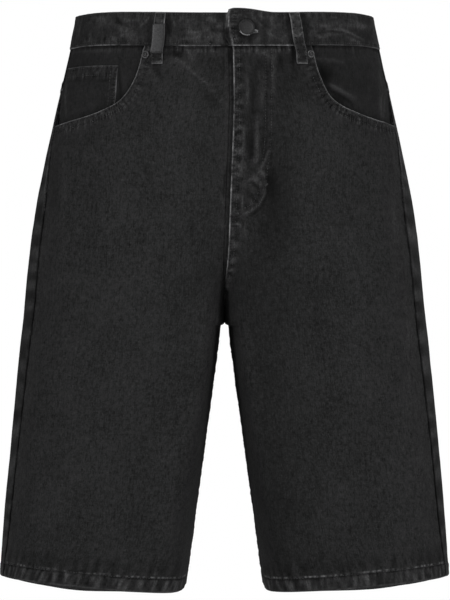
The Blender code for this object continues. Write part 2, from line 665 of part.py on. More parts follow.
def loop_plate(material):
    """Bare metal clip bent round the front of the right front loop."""
    half = LOOP_HALF_WIDTH + 0.3 + PLATE_WALL
    face = LOOP_WALL + 0.3 + PLATE_WALL
    flange = 0.6
    outside = np.array([(-half, flange), (-half, face - 0.6), (-half + 0.6, face), (half - 0.6, face),
                        (half, face - 0.6), (half, flange)])
    inset = PLATE_WALL
    inside = np.array([(-half + inset, flange), (-half + inset, face - 0.7), (-half + inset + 0.1, face - inset),
                       (half - inset - 0.1, face - inset), (half - inset, face - 0.7), (half - inset, flange)])
    down = np.linspace(PLATE_DOWN[1], PLATE_DOWN[0], 6)[None, :]
    layer = np.interp(down, LOOP["down"], LOOP["layer"])
    half_length = 0.5 * float(look_up(2, np.array(2.0), np.array(-30.0)))
    middle = LOOPS[0][2]
    grids = []
    for shape in (outside, inside):
        across = middle + shape[:, :1] / half_length + 0.0 * down
        height = waist_rise(np.array(middle)) - down + 0.0 * across
        grids.append(place(RIGHT, across, height, layer + shape[:, 1:]))
    return wall("loop_plate", RIGHT, grids[0], grids[1], material)


def fly_zip(material):
    """Plain zip strip behind the fly, held between the two fronts."""
    width = np.array([1.0, 5.0, 9.0])[:, None]
    height = np.linspace(-196.0, -40.0, 12)[None, :]
    length = front_length(height + 0.0 * width)
    across = (line(FLY_EDGE, height) + FLY_LAP[0][0] + width) / length
    outer = -WALL - 3.0 * SEAM + 0.0 * across
    return wall("fly_zip", LEFT, place(LEFT, across, height + 0.0 * across, outer),
                place(LEFT, across, height + 0.0 * across, outer - 1.2), material)


for old in list(bpy.data.objects):
    bpy.data.objects.remove(old, do_unlink=True)

garment = bpy.data.collections.new("denim_shorts")
bpy.context.scene.collection.children.link(garment)

denim = make_material("black_denim", (0.022, 0.022, 0.024), 0.9, 0.0)
dark_metal = make_material("dark_metal", (0.10, 0.10, 0.105), 0.42, 1.0)
tape = make_material("zip_tape", (0.018, 0.018, 0.019), 0.85, 0.0)

for wearer_side in (LEFT, RIGHT):
    front_panel(wearer_side, denim)
    back_panel(wearer_side, denim)
    yoke(wearer_side, denim)
    pocket_facing(wearer_side, denim)
    back_pocket(wearer_side, denim)

coin_pocket(denim)
waistband(denim)
fly_zip(tape)
for loop_name, loop_side, loop_top, loop_bottom in LOOPS:
    belt_loop(loop_name, loop_side, loop_top, loop_bottom, denim)
loop_plate(dark_metal)

# Shank button on the tab: flat rim, shallow dish and a low centre
BUTTON_PROFILE = ((0.0, 0.0), (3.0, 0.0), (7.7, 0.4), (8.8, 1.1), (9.0, 2.0), (8.6, 2.8), (7.8, 3.1), (6.9, 2.9),
                  (6.3, 2.4), (3.0, 2.6), (0.0, 2.7))
button_height = BUTTON_AT[1]
button_across = BUTTON_AT[0] / float(front_length(button_height))
turned("button", LEFT, button_across, button_height, BAND_PROUD + TAB_LIFT + SEAM, BUTTON_PROFILE, 28, dark_metal)

# Rivets at the top of each pocket mouth: domed cap with a small centre nub
RIVET_PROFILE = ((0.0, 0.0), (3.9, 0.0), (4.1, 0.5), (3.6, 1.2), (2.2, 1.5), (1.6, 1.5), (1.3, 2.0), (0.0, 2.2))
for wearer_side in (LEFT, RIGHT):
    distance, rivet_height = RIVETS_AT[wearer_side]
    rivet_across = distance / float(front_length(rivet_height))
    turned(piece_name("rivet", wearer_side), wearer_side, rivet_across, rivet_height, SEAM, RIVET_PROFILE, 16,
           dark_metal)
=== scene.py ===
# %% [markdown]
# # Baggy denim shorts
# Knee-length five-pocket shorts in washed black denim, filled out as if somebody wore them. The rigid model
# already holds every cut piece as a plain wall. Here each piece is made again on the same surface, fine
# enough for seams, puckers and creases, and gets its cloth, thread and metal.

# %% Load the frame and keep its box
import bpy
import numpy as np
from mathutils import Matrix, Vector


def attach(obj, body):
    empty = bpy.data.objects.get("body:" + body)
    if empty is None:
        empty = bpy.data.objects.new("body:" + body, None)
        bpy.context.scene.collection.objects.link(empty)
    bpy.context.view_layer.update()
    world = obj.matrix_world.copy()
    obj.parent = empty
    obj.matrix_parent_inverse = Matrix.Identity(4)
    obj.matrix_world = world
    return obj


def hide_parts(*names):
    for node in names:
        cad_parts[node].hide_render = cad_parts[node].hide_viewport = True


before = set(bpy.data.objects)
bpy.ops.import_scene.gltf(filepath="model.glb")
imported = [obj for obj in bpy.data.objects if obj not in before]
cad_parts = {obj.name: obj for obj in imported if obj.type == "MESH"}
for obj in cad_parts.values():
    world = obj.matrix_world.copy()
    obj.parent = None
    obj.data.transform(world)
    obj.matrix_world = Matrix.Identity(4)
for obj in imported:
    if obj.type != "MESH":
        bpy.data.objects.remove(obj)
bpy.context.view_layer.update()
MM = 0.001
LEFT, RIGHT = 1, -1
print("nodes in the frame:", len(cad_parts))

# %% [markdown]
# ## Camera, floor and light
# The photograph is a shop picture: taken from straight in front, from far away, level with the middle of the
# garment, on pure white. A long lens 3.3 m off gives the same small perspective. Two soft boxes stand well out
# to the sides, the right one a little stronger, so the flanks stay as light as the middle. A weak one in front
# fills the hollows, one above picks out the creases that run across, and one lights the back. The world looks
# white to the camera and lights the cloth less, so the folds keep their dark side.

# %% Camera, pale floor and soft boxes
CAMERA_PLACE, LENS_LENGTH, FILM_HEIGHT = (0.0005, -3.3, -0.3064), 180.0, 36.0
WORLD_LIGHT, FLOOR_REACH, FLOOR_BACK, FLOOR_HEIGHT = 0.12, 3.0, 0.6, -0.7
MIDDLE = (0.0, 0.0, -0.3)
# name, place, the point it looks at, its size in metres and its power in watts
SOFT_BOXES = (
    ("right_box", (2.5, -1.9, 0.9), MIDDLE, 0.8, 49.0),
    ("left_box", (-2.4, -2.0, 0.7), MIDDLE, 0.9, 40.0),
    ("front_box", (0.8, -3.2, -0.2), (0.0, 0.0, -0.35), 0.5, 13.0),
    ("top_box", (-0.3, -2.0, 2.4), MIDDLE, 0.7, 30.0),
    ("back_box", (0.6, 2.8, 1.8), MIDDLE, 1.6, 80.0),
)

lens = bpy.data.cameras.new("shop_camera")
lens.sensor_fit = "VERTICAL"
lens.sensor_height = FILM_HEIGHT
lens.lens = LENS_LENGTH
camera = bpy.data.objects.new("shop_camera", lens)
camera.location = CAMERA_PLACE
camera.rotation_euler = (np.pi / 2, 0.0, 0.0)
bpy.context.collection.objects.link(camera)
bpy.context.scene.camera = camera
bpy.context.scene.view_settings.view_transform = "Standard"


def soft_box(name, place, aim, size, power):
    """Square area light turned so that its face looks at a point."""
    lamp = bpy.data.lights.new(name, "AREA")
    lamp.size = size
    lamp.energy = power
    box = bpy.data.objects.new(name, lamp)
    box.location = place
    box.rotation_euler = (Vector(aim) - Vector(place)).to_track_quat("-Z", "Y").to_euler()
    bpy.context.collection.objects.link(box)


def new_material(name):
    """Material made of nodes, with its tree and its shader."""
    material = bpy.data.materials.new(name)
    material.use_nodes = True
    return material, material.node_tree, material.node_tree.nodes["Principled BSDF"]


def new_piece(name, mesh):
    """Object of a finished mesh, put into the scene."""
    mesh.update()
    piece = bpy.data.objects.new(name, mesh)
    bpy.context.collection.objects.link(piece)
    return piece


for box in SOFT_BOXES:
    soft_box(*box)

world = bpy.data.worlds.new("white_studio")
bpy.context.scene.world = world
world.use_nodes = True
sky = world.node_tree
sky.nodes["Background"].inputs["Color"].default_value = (1.0, 1.0, 1.0, 1.0)
seen = sky.nodes.new("ShaderNodeLightPath")
level = sky.nodes.new("ShaderNodeMapRange")
level.inputs["To Min"].default_value = WORLD_LIGHT
level.inputs["To Max"].default_value = 1.0
sky.links.new(seen.outputs["Is Camera Ray"], level.inputs["Value"])
sky.links.new(level.outputs["Result"], sky.nodes["Background"].inputs["Strength"])

floor_mesh = bpy.data.meshes.new("pale_floor")
floor_corners = ((-FLOOR_REACH, -FLOOR_REACH), (FLOOR_REACH, -FLOOR_REACH), (FLOOR_REACH, FLOOR_BACK),
                 (-FLOOR_REACH, FLOOR_BACK))
floor_mesh.from_pydata([(x, y, FLOOR_HEIGHT) for x, y in floor_corners], [], [(0, 1, 2, 3)])
floor = new_piece("pale_floor", floor_mesh)
pale, _, shader = new_material("pale_floor")
shader.inputs["Base Color"].default_value = (0.88, 0.88, 0.88, 1.0)
shader.inputs["Roughness"].default_value = 0.8
floor_mesh.materials.append(pale)
print("camera", tuple(round(v, 4) for v in camera.location), "lens", lens.lens)

# %% [markdown]
# ## The worn body
# A garment on a body is easiest to hold as one smooth surface that all its pieces share. Short tables give
# the section of that body at a few heights, and cubic curves run between them. Any point of the cloth then has
# a side and three numbers: across (0 at the centre front or inseam, 1 at the side seam, 2 at the centre back),
# height, and layer, the millimetres it stands outside the cloth's face. The sizes are those of the rigid
# model, in millimetres, and become metres when a mesh is made.

# %% Sizes of the cloth and the worn body, in millimetres
# cloth, the seam between two rigid pieces, and how far the cloth reaches into it to keep the light out
WALL, SEAM, SEAM_LAP = 1.6, 0.3, 0.3
HEM_HEIGHT, HEM_WALL, HEM_PROUD, HEM_FADE = 15.0, 3.4, 0.4, 1.6
INSIDE_SHARE, EDGE_ROUND, CALM_ABOVE_HEM = 0.7, 1.3, 20.0
BAND_HEIGHT, BAND_PROUD, BAND_INSIDE = 36.1, 1.2, -1.6
# the button tab lifts off the band under it, rises at its end, and bulges towards the button
TAB_LIFT, TAB_RAISE = 2.8, 4.4
TAB_FOOT, TAB_ABOVE, TAB_TOP = 3.2, 4.0, 2.4
WAIST_RISE_SIDE, WAIST_RISE_BACK = 4.6, 10.0
FLY_DROP, FACING_DROP, FACING_UNDER = 2.3, 3.3, 16.0
COIN_WALL, LOOP_WALL, LOOP_HALF_WIDTH, PLATE_WALL = 1.1, 2.0, 6.3, 0.9
# the seam inset is the side seam's step in front of the widest point; bulge and corner shape the inner half
SECTION_COLUMNS = ("height", "half_width", "leg_centre", "front_depth", "back_depth", "widest_y", "seam_inset",
                   "inner_bulge", "inner_corner")
SECTIONS = (
    (15.0, 161.0, 0.0, 105.0, 105.0, 0.0, 1.0, 3.6, 1.7),
    (0.0, 163.5, 0.0, 106.0, 106.0, 0.0, 1.2, 3.6, 1.7),
    (-40.0, 172.0, 0.0, 109.0, 114.0, 1.0, 1.6, 3.6, 1.7),
    (-80.0, 181.4, 8.0, 113.0, 127.0, 3.0, 2.2, 3.6, 1.7),
    (-120.0, 190.5, 26.0, 117.0, 141.0, 5.0, 3.6, 3.6, 1.7),
    (-160.0, 199.0, 46.0, 120.0, 150.0, 7.0, 7.5, 3.6, 1.7),
    (-200.0, 206.8, 70.0, 122.0, 153.0, 8.0, 12.5, 3.6, 1.7),
    (-250.0, 214.2, 94.0, 122.0, 149.0, 9.0, 14.0, 5.0, 1.9),
    (-320.0, 221.3, 111.0, 117.0, 136.0, 10.0, 14.0, 16.0, 3.2),
    (-400.0, 229.7, 121.0, 109.0, 120.0, 8.0, 12.5, 18.0, 3.4),
    (-480.0, 237.0, 130.0, 101.0, 107.0, 6.0, 10.5, 12.0, 2.8),
    (-550.0, 243.0, 138.0, 95.0, 97.0, 4.0, 9.0, 8.0, 2.3),
    (-620.0, 247.4, 145.0, 90.0, 90.0, 3.0, 4.5, 5.5, 1.9),
    (-640.0, 248.4, 147.0, 89.0, 89.0, 3.0, 4.5, 5.0, 1.8),
)
CROTCH_HEIGHT = -332.0
BULGE_OUTSIDE, CORNER = 2.3, 1.7
FRONT_RISE, BACK_RISE, CUT_REACH = (-150.0, 4.3), (-170.0, 3.6), 1.5
GAP_START, GAP_ROUND, GAP_SPREAD, GAP_REACH = 4.2, 1.5, 0.135, 0.3
GRID_TOP, GRID_STEP, GRID_ROWS, GRID_HALF, ARC_POINTS = 14.0, 2.0, 326, 160, 120

# %% Section of the body at one height
def named(columns, rows):
    """Short table whose columns are read by name."""
    return {name: np.array([row[i] for row in rows], float) for i, name in enumerate(columns)}


SECTION = named(SECTION_COLUMNS, SECTIONS)


def smooth(value):
    """0 below 0, 1 above 1, and 3 v squared minus 2 v cubed between."""
    clipped = np.clip(value, 0.0, 1.0)
    return clipped * clipped * (3.0 - 2.0 * clipped)


def cubic(keys, values, at):
    """Cubic curve through values at rising keys, with the table's own slopes, read at some places."""
    slopes = np.gradient(values, keys)
    i = np.clip(np.searchsorted(keys, at) - 1, 0, len(keys) - 2)
    span = keys[i + 1] - keys[i]
    s = np.clip((at - keys[i]) / span, 0.0, 1.0)
    start = (1.0 + 2.0 * s) * (1.0 - s) ** 2 * values[i] + s * (1.0 - s) ** 2 * span * slopes[i]
    return start + s * s * (3.0 - 2.0 * s) * values[i + 1] + s * s * (s - 1.0) * span * slopes[i + 1]


def section_size(name, height):
    """Size of the body's section at a height."""
    return cubic(SECTION["height"][::-1], SECTION[name][::-1], height)


def half_outline(height, depth, curve):
    """Half section: x runs from the inner edge to the widest point, and the depth falls as a rounded corner.

    The fall is (1 - place ** bulge) ** (1 / corner). From the rise's start down to the crotch the centre seam
    cuts the inner side off more and more; its own fall is (1 - way down ** lateness) ** (1 / corner).
    """
    width, centre = section_size("half_width", height), section_size("leg_centre", height)
    below = max(CROTCH_HEIGHT - height, 0.0)
    arch = GAP_START * (1.0 - (1.0 - min(below / GAP_ROUND, 1.0)) ** 2) ** 0.5
    spread = GAP_SPREAD * max(below - GAP_ROUND, 0.0)
    turn = np.sin(np.linspace(0.0, np.pi / 2.0, ARC_POINTS))
    inside, outside = turn[::-1], turn[1:]
    inner_x = centre - (centre - spread) * inside + arch * smooth((inside - 1.0 + GAP_REACH) / GAP_REACH)
    x = np.concatenate([inner_x, centre + (width - centre) * outside])
    start, lateness = curve
    bulge, corner = section_size("inner_bulge", height), section_size("inner_corner", height)
    way = np.clip((start - height) / (start - CROTCH_HEIGHT), 0.0, 1.0)
    seam_fall = (1.0 - way ** lateness) ** (1.0 / CORNER)
    cut = (1.0 - seam_fall ** corner) ** (1.0 / bulge)
    cut_inside = inside * cut ** (inside ** CUT_REACH)
    inner_fall = (1.0 - cut_inside ** bulge) ** (1.0 / corner)
    outer_fall = (1.0 - outside ** BULGE_OUTSIDE) ** (1.0 / CORNER)
    return x, depth * np.concatenate([inner_fall, outer_fall])


def whole_outline(height):
    """Outline of one half from front to back: x, y, distance along it, and the side seam's distance."""
    widest = section_size("widest_y", height)
    front_x, front_y = half_outline(height, section_size("front_depth", height), FRONT_RISE)
    back_x, back_y = half_outline(height, section_size("back_depth", height), BACK_RISE)
    x = np.concatenate([front_x, back_x[::-1][1:]])
    y = np.concatenate([widest - front_y, widest + back_y[::-1][1:]])
    along = np.concatenate([[0.0], np.cumsum(np.hypot(np.diff(x), np.diff(y)))])
    centre, width = section_size("leg_centre", height), section_size("half_width", height)
    turn = np.arcsin((width - section_size("seam_inset", height) - centre) / (width - centre)) / (np.pi / 2.0)
    return x, y, along, np.interp((ARC_POINTS - 1) * (1.0 + turn), np.arange(len(along)), along)


# %% The body as lookup grids
def lookup_grids():
    """x, y and distance along the outline for each height and each step across."""
    across = np.linspace(0.0, 2.0, 2 * GRID_HALF + 1)
    grids = np.zeros((3, GRID_ROWS, len(across)))
    for row in range(GRID_ROWS):
        x, y, along, seam = whole_outline(GRID_TOP - row * GRID_STEP)
        distance = np.where(across <= 1.0, across * seam, seam + (across - 1.0) * (along[-1] - seam))
        grids[:, row] = np.interp(distance, along, x), np.interp(distance, along, y), distance
    return grids


GRIDS = lookup_grids()


def look_up(which, across, height):
    """Value between the four nearest entries of a lookup grid."""
    down = np.clip((GRID_TOP - height) / GRID_STEP, 0.0, GRID_ROWS - 1.001)
    along = np.clip(across * GRID_HALF, 0.0, 2 * GRID_HALF - 0.001)
    i, j = down.astype(int), along.astype(int)
    s, r = down - i, along - j
    grid = GRIDS[which]
    upper = grid[i, j] * (1.0 - r) + grid[i, j + 1] * r
    lower = grid[i + 1, j] * (1.0 - r) + grid[i + 1, j + 1] * r
    return upper * (1.0 - s) + lower * s


def front_length(height):
    """Cloth distance from the centre front, or the inseam, to the side seam."""
    height = np.asarray(height, float)
    return look_up(2, np.ones_like(height), height)


def back_length(height):
    """Cloth distance from the side seam to the centre back, or the inseam."""
    height = np.asarray(height, float)
    return look_up(2, np.full_like(height, 2.0), height) - front_length(height)


def mirrored(across):
    """Across of all four quarters counted from 0 at the centre front to 2 at the centre back."""
    over = np.mod(across, 4.0)
    return np.where(over > 2.0, 4.0 - over, over)


def on_body(across, height):
    """Across of the body: a step past an edge goes over the centre line, or round the leg below the crotch."""
    return np.where(height > CROTCH_HEIGHT, mirrored(across), np.mod(across, 2.0))


def bare(side, across, height):
    """Point of the smooth body."""
    over_centre = (np.mod(across, 4.0) > 2.0) & (height > CROTCH_HEIGHT)
    body_side = np.where(over_centre, -side, side)
    body_across = on_body(across, height)
    clear_of_centre = 0.03 * smooth((FRONT_RISE[0] - height) / 60.0)
    x = np.maximum(look_up(0, body_across, height), clear_of_centre) * body_side
    return np.stack([x, look_up(1, body_across, height), height], axis=-1)


def outward(side, across, height):
    """Unit normal of the smooth body: the cross product of a step across and a step up."""
    ahead = bare(side, across + 0.004, height) - bare(side, across - 0.004, height)
    up = bare(side, across, height + 1.5) - bare(side, across, height - 1.5)
    normal = np.cross(ahead, up) * side
    return normal / np.linalg.norm(normal, axis=-1, keepdims=True)


print("waist round", round(float(2 * look_up(2, np.array(2.0), np.array(0.0)))), "mm, leg round at the hem",
      round(float(look_up(2, np.array(2.0), np.array(-612.0)))), "mm")

# %% [markdown]
# ## Folds, creases and the hand of the cloth
# Denim is stiff, so it breaks into a few long soft folds where the body carries it, and into short sharp
# creases near seams. A cloth simulation would lose the exact places seen in the photograph, so each fold is
# a bell-shaped ridge or trough laid between two points of the front or the back. The first table is in the
# rigid model too, and the second holds the finer creases. A last small unevenness comes from smooth
# random values in space, which meet across a seam because they depend on the place alone.

# %% Large folds and finer creases
# face 0 is the front and 1 the back: x and height of both ends, width of the bell, rise (negative is a trough)
FOLDS = (
    (0, -170.0, -150.0, -176.0, -285.0, 15.0, 2.6), (0, -150.0, -170.0, -150.0, -300.0, 13.0, -1.8),
    (0, -60.0, -60.0, -20.0, -98.0, 11.0, 2.0), (0, 168.0, -150.0, 186.0, -300.0, 12.0, 2.4),
    (0, 72.0, -280.0, 138.0, -297.0, 10.0, 2.4), (0, 138.0, -297.0, 190.0, -276.0, 11.0, 2.0),
    (0, 92.0, -305.0, 150.0, -318.0, 12.0, -1.8), (0, 40.0, -255.0, 70.0, -600.0, 16.0, 2.4),
    (0, -46.0, -262.0, -62.0, -600.0, 18.0, 2.0), (0, 200.0, -400.0, 212.0, -600.0, 16.0, 2.2),
    (0, -205.0, -380.0, -214.0, -590.0, 18.0, 1.8), (0, -24.0, -120.0, -30.0, -240.0, 14.0, 1.8),
    (0, 66.0, -110.0, 76.0, -230.0, 15.0, 1.6), (1, 44.0, -318.0, 130.0, -334.0, 13.0, 3.0),
    (1, -38.0, -322.0, -140.0, -338.0, 14.0, 2.8), (1, 64.0, -346.0, 150.0, -362.0, 15.0, -2.4),
    (1, -66.0, -350.0, -140.0, -364.0, 14.0, -2.2), (1, 118.0, -380.0, 128.0, -600.0, 22.0, 2.6),
    (1, -112.0, -372.0, -130.0, -600.0, 20.0, 2.8), (1, 190.0, -420.0, 205.0, -600.0, 17.0, 2.0),
    (1, -196.0, -400.0, -206.0, -600.0, 18.0, 1.8),
)
CREASES = (
    # waistband: puckers beside the tab and the long soft crease over the hip
    (0, -42.0, -13.0, -30.0, -30.0, 3.6, 0.8), (0, -26.0, -10.0, -12.0, -27.0, 3.8, 0.9),
    (0, -22.0, -31.0, -5.0, -20.0, 3.2, 0.7), (0, -120.0, -10.0, -98.0, -24.0, 4.5, 0.8),
    (0, -150.0, -16.0, -128.0, -12.0, 5.0, 0.6), (0, 88.0, -24.0, 128.0, -18.0, 3.8, 1.3),
    (0, 128.0, -18.0, 154.0, -33.0, 4.2, 1.3), (0, 98.0, -12.0, 146.0, -9.0, 4.5, 0.8),
    (0, 52.0, -8.0, 47.0, -30.0, 4.5, 0.7), (0, 62.0, -10.0, 60.0, -28.0, 3.4, 0.6),
    # drag below the front left loop, and the hollow of the pocket mouths
    (0, -52.0, -50.0, -20.0, -84.0, 4.0, 0.6), (0, -40.0, -62.0, -12.0, -96.0, 4.0, -0.7),
    (0, 114.0, -76.0, 140.0, -91.0, 1.8, 1.7), (0, 108.0, -70.0, 124.0, -58.0, 6.0, 1.0),
    (0, 170.0, -82.0, 174.0, -114.0, 1.9, 1.2), (0, 156.0, -46.0, 166.0, -80.0, 7.0, 0.9),
    # ridges down the fly
    (0, 53.0, -38.0, 52.0, -88.0, 3.0, 0.9), (0, 41.0, -64.0, 40.0, -96.0, 3.0, 0.8),
    (0, 24.0, -46.0, 23.0, -112.0, 3.0, 0.7), (0, 34.5, -112.0, 34.0, -158.0, 3.0, 1.4),
    (0, 29.0, -162.0, 35.0, -157.0, 3.0, 1.0), (0, 25.0, -182.0, 33.0, -176.0, 4.0, 1.5),
    (0, 33.0, -176.0, 41.0, -188.0, 3.4, 1.2), (0, 20.0, -120.0, 21.0, -200.0, 3.0, 0.8),
    (0, 27.0, -128.0, 27.0, -158.0, 3.5, -0.9), (0, 43.0, -120.0, 42.0, -160.0, 3.4, -0.7),
    (0, 24.0, -192.0, 33.0, -200.0, 3.4, -0.8),
    # ridge that follows the right side seam, and the strips beside it
    (0, 178.0, -132.0, 186.5, -200.0, 5.0, 1.6), (0, 186.5, -200.0, 192.0, -264.0, 5.0, 1.8),
    (0, 192.0, -264.0, 200.0, -338.0, 5.0, 1.8), (0, 200.0, -338.0, 208.0, -412.0, 5.0, 1.5),
    (0, 208.0, -412.0, 216.0, -470.0, 5.0, 1.2), (0, -186.0, -140.0, -196.0, -220.0, 5.0, 1.3),
    (0, -196.0, -220.0, -204.0, -300.0, 5.0, 1.1), (0, -206.0, -330.0, -213.0, -420.0, 5.0, 1.0),
    # soft breaks on the legs
    (0, 60.0, -268.0, 96.0, -276.0, 6.0, 1.2), (0, -150.0, -330.0, -96.0, -346.0, 14.0, 0.9),
    (0, -132.0, -400.0, -170.0, -430.0, 18.0, 0.8), (0, 96.0, -420.0, 150.0, -400.0, 18.0, 0.9),
    (0, -60.0, -300.0, -40.0, -330.0, 8.0, 1.2), (0, 36.0, -292.0, 56.0, -330.0, 7.0, -1.4),
    (0, -18.0, -256.0, -28.0, -312.0, 7.0, -1.1), (0, 150.0, -180.0, 158.0, -260.0, 12.0, -1.2),
    (0, -120.0, -560.0, -100.0, -600.0, 12.0, 0.9), (0, 120.0, -556.0, 108.0, -600.0, 12.0, 0.9),
    # back: seat, under the pockets and down the legs
    (1, 24.0, -250.0, 70.0, -300.0, 9.0, 1.6), (1, -20.0, -256.0, -66.0, -302.0, 9.0, 1.5),
    (1, 60.0, -320.0, 150.0, -326.0, 6.0, 1.2), (1, -52.0, -326.0, -150.0, -328.0, 6.0, 1.1),
    (1, 168.0, -150.0, 176.0, -250.0, 9.0, 1.4), (1, -166.0, -160.0, -176.0, -262.0, 9.0, 1.3),
    (1, 96.0, -376.0, 160.0, -392.0, 8.0, 1.1), (1, -90.0, -382.0, -158.0, -398.0, 8.0, 1.0),
    (1, 14.0, -130.0, 36.0, -160.0, 6.0, 0.9), (1, -12.0, -134.0, -34.0, -162.0, 6.0, 0.8),
    (1, 130.0, -20.0, 96.0, -26.0, 5.0, 0.8), (1, -70.0, -14.0, -40.0, -26.0, 5.0, 0.7),
    (1, 60.0, -440.0, 92.0, -470.0, 12.0, 1.0), (1, -64.0, -450.0, -100.0, -476.0, 12.0, 1.0),
    (1, 206.0, -240.0, 210.0, -330.0, 7.0, 1.2), (1, -204.0, -236.0, -209.0, -322.0, 7.0, 1.2),
)
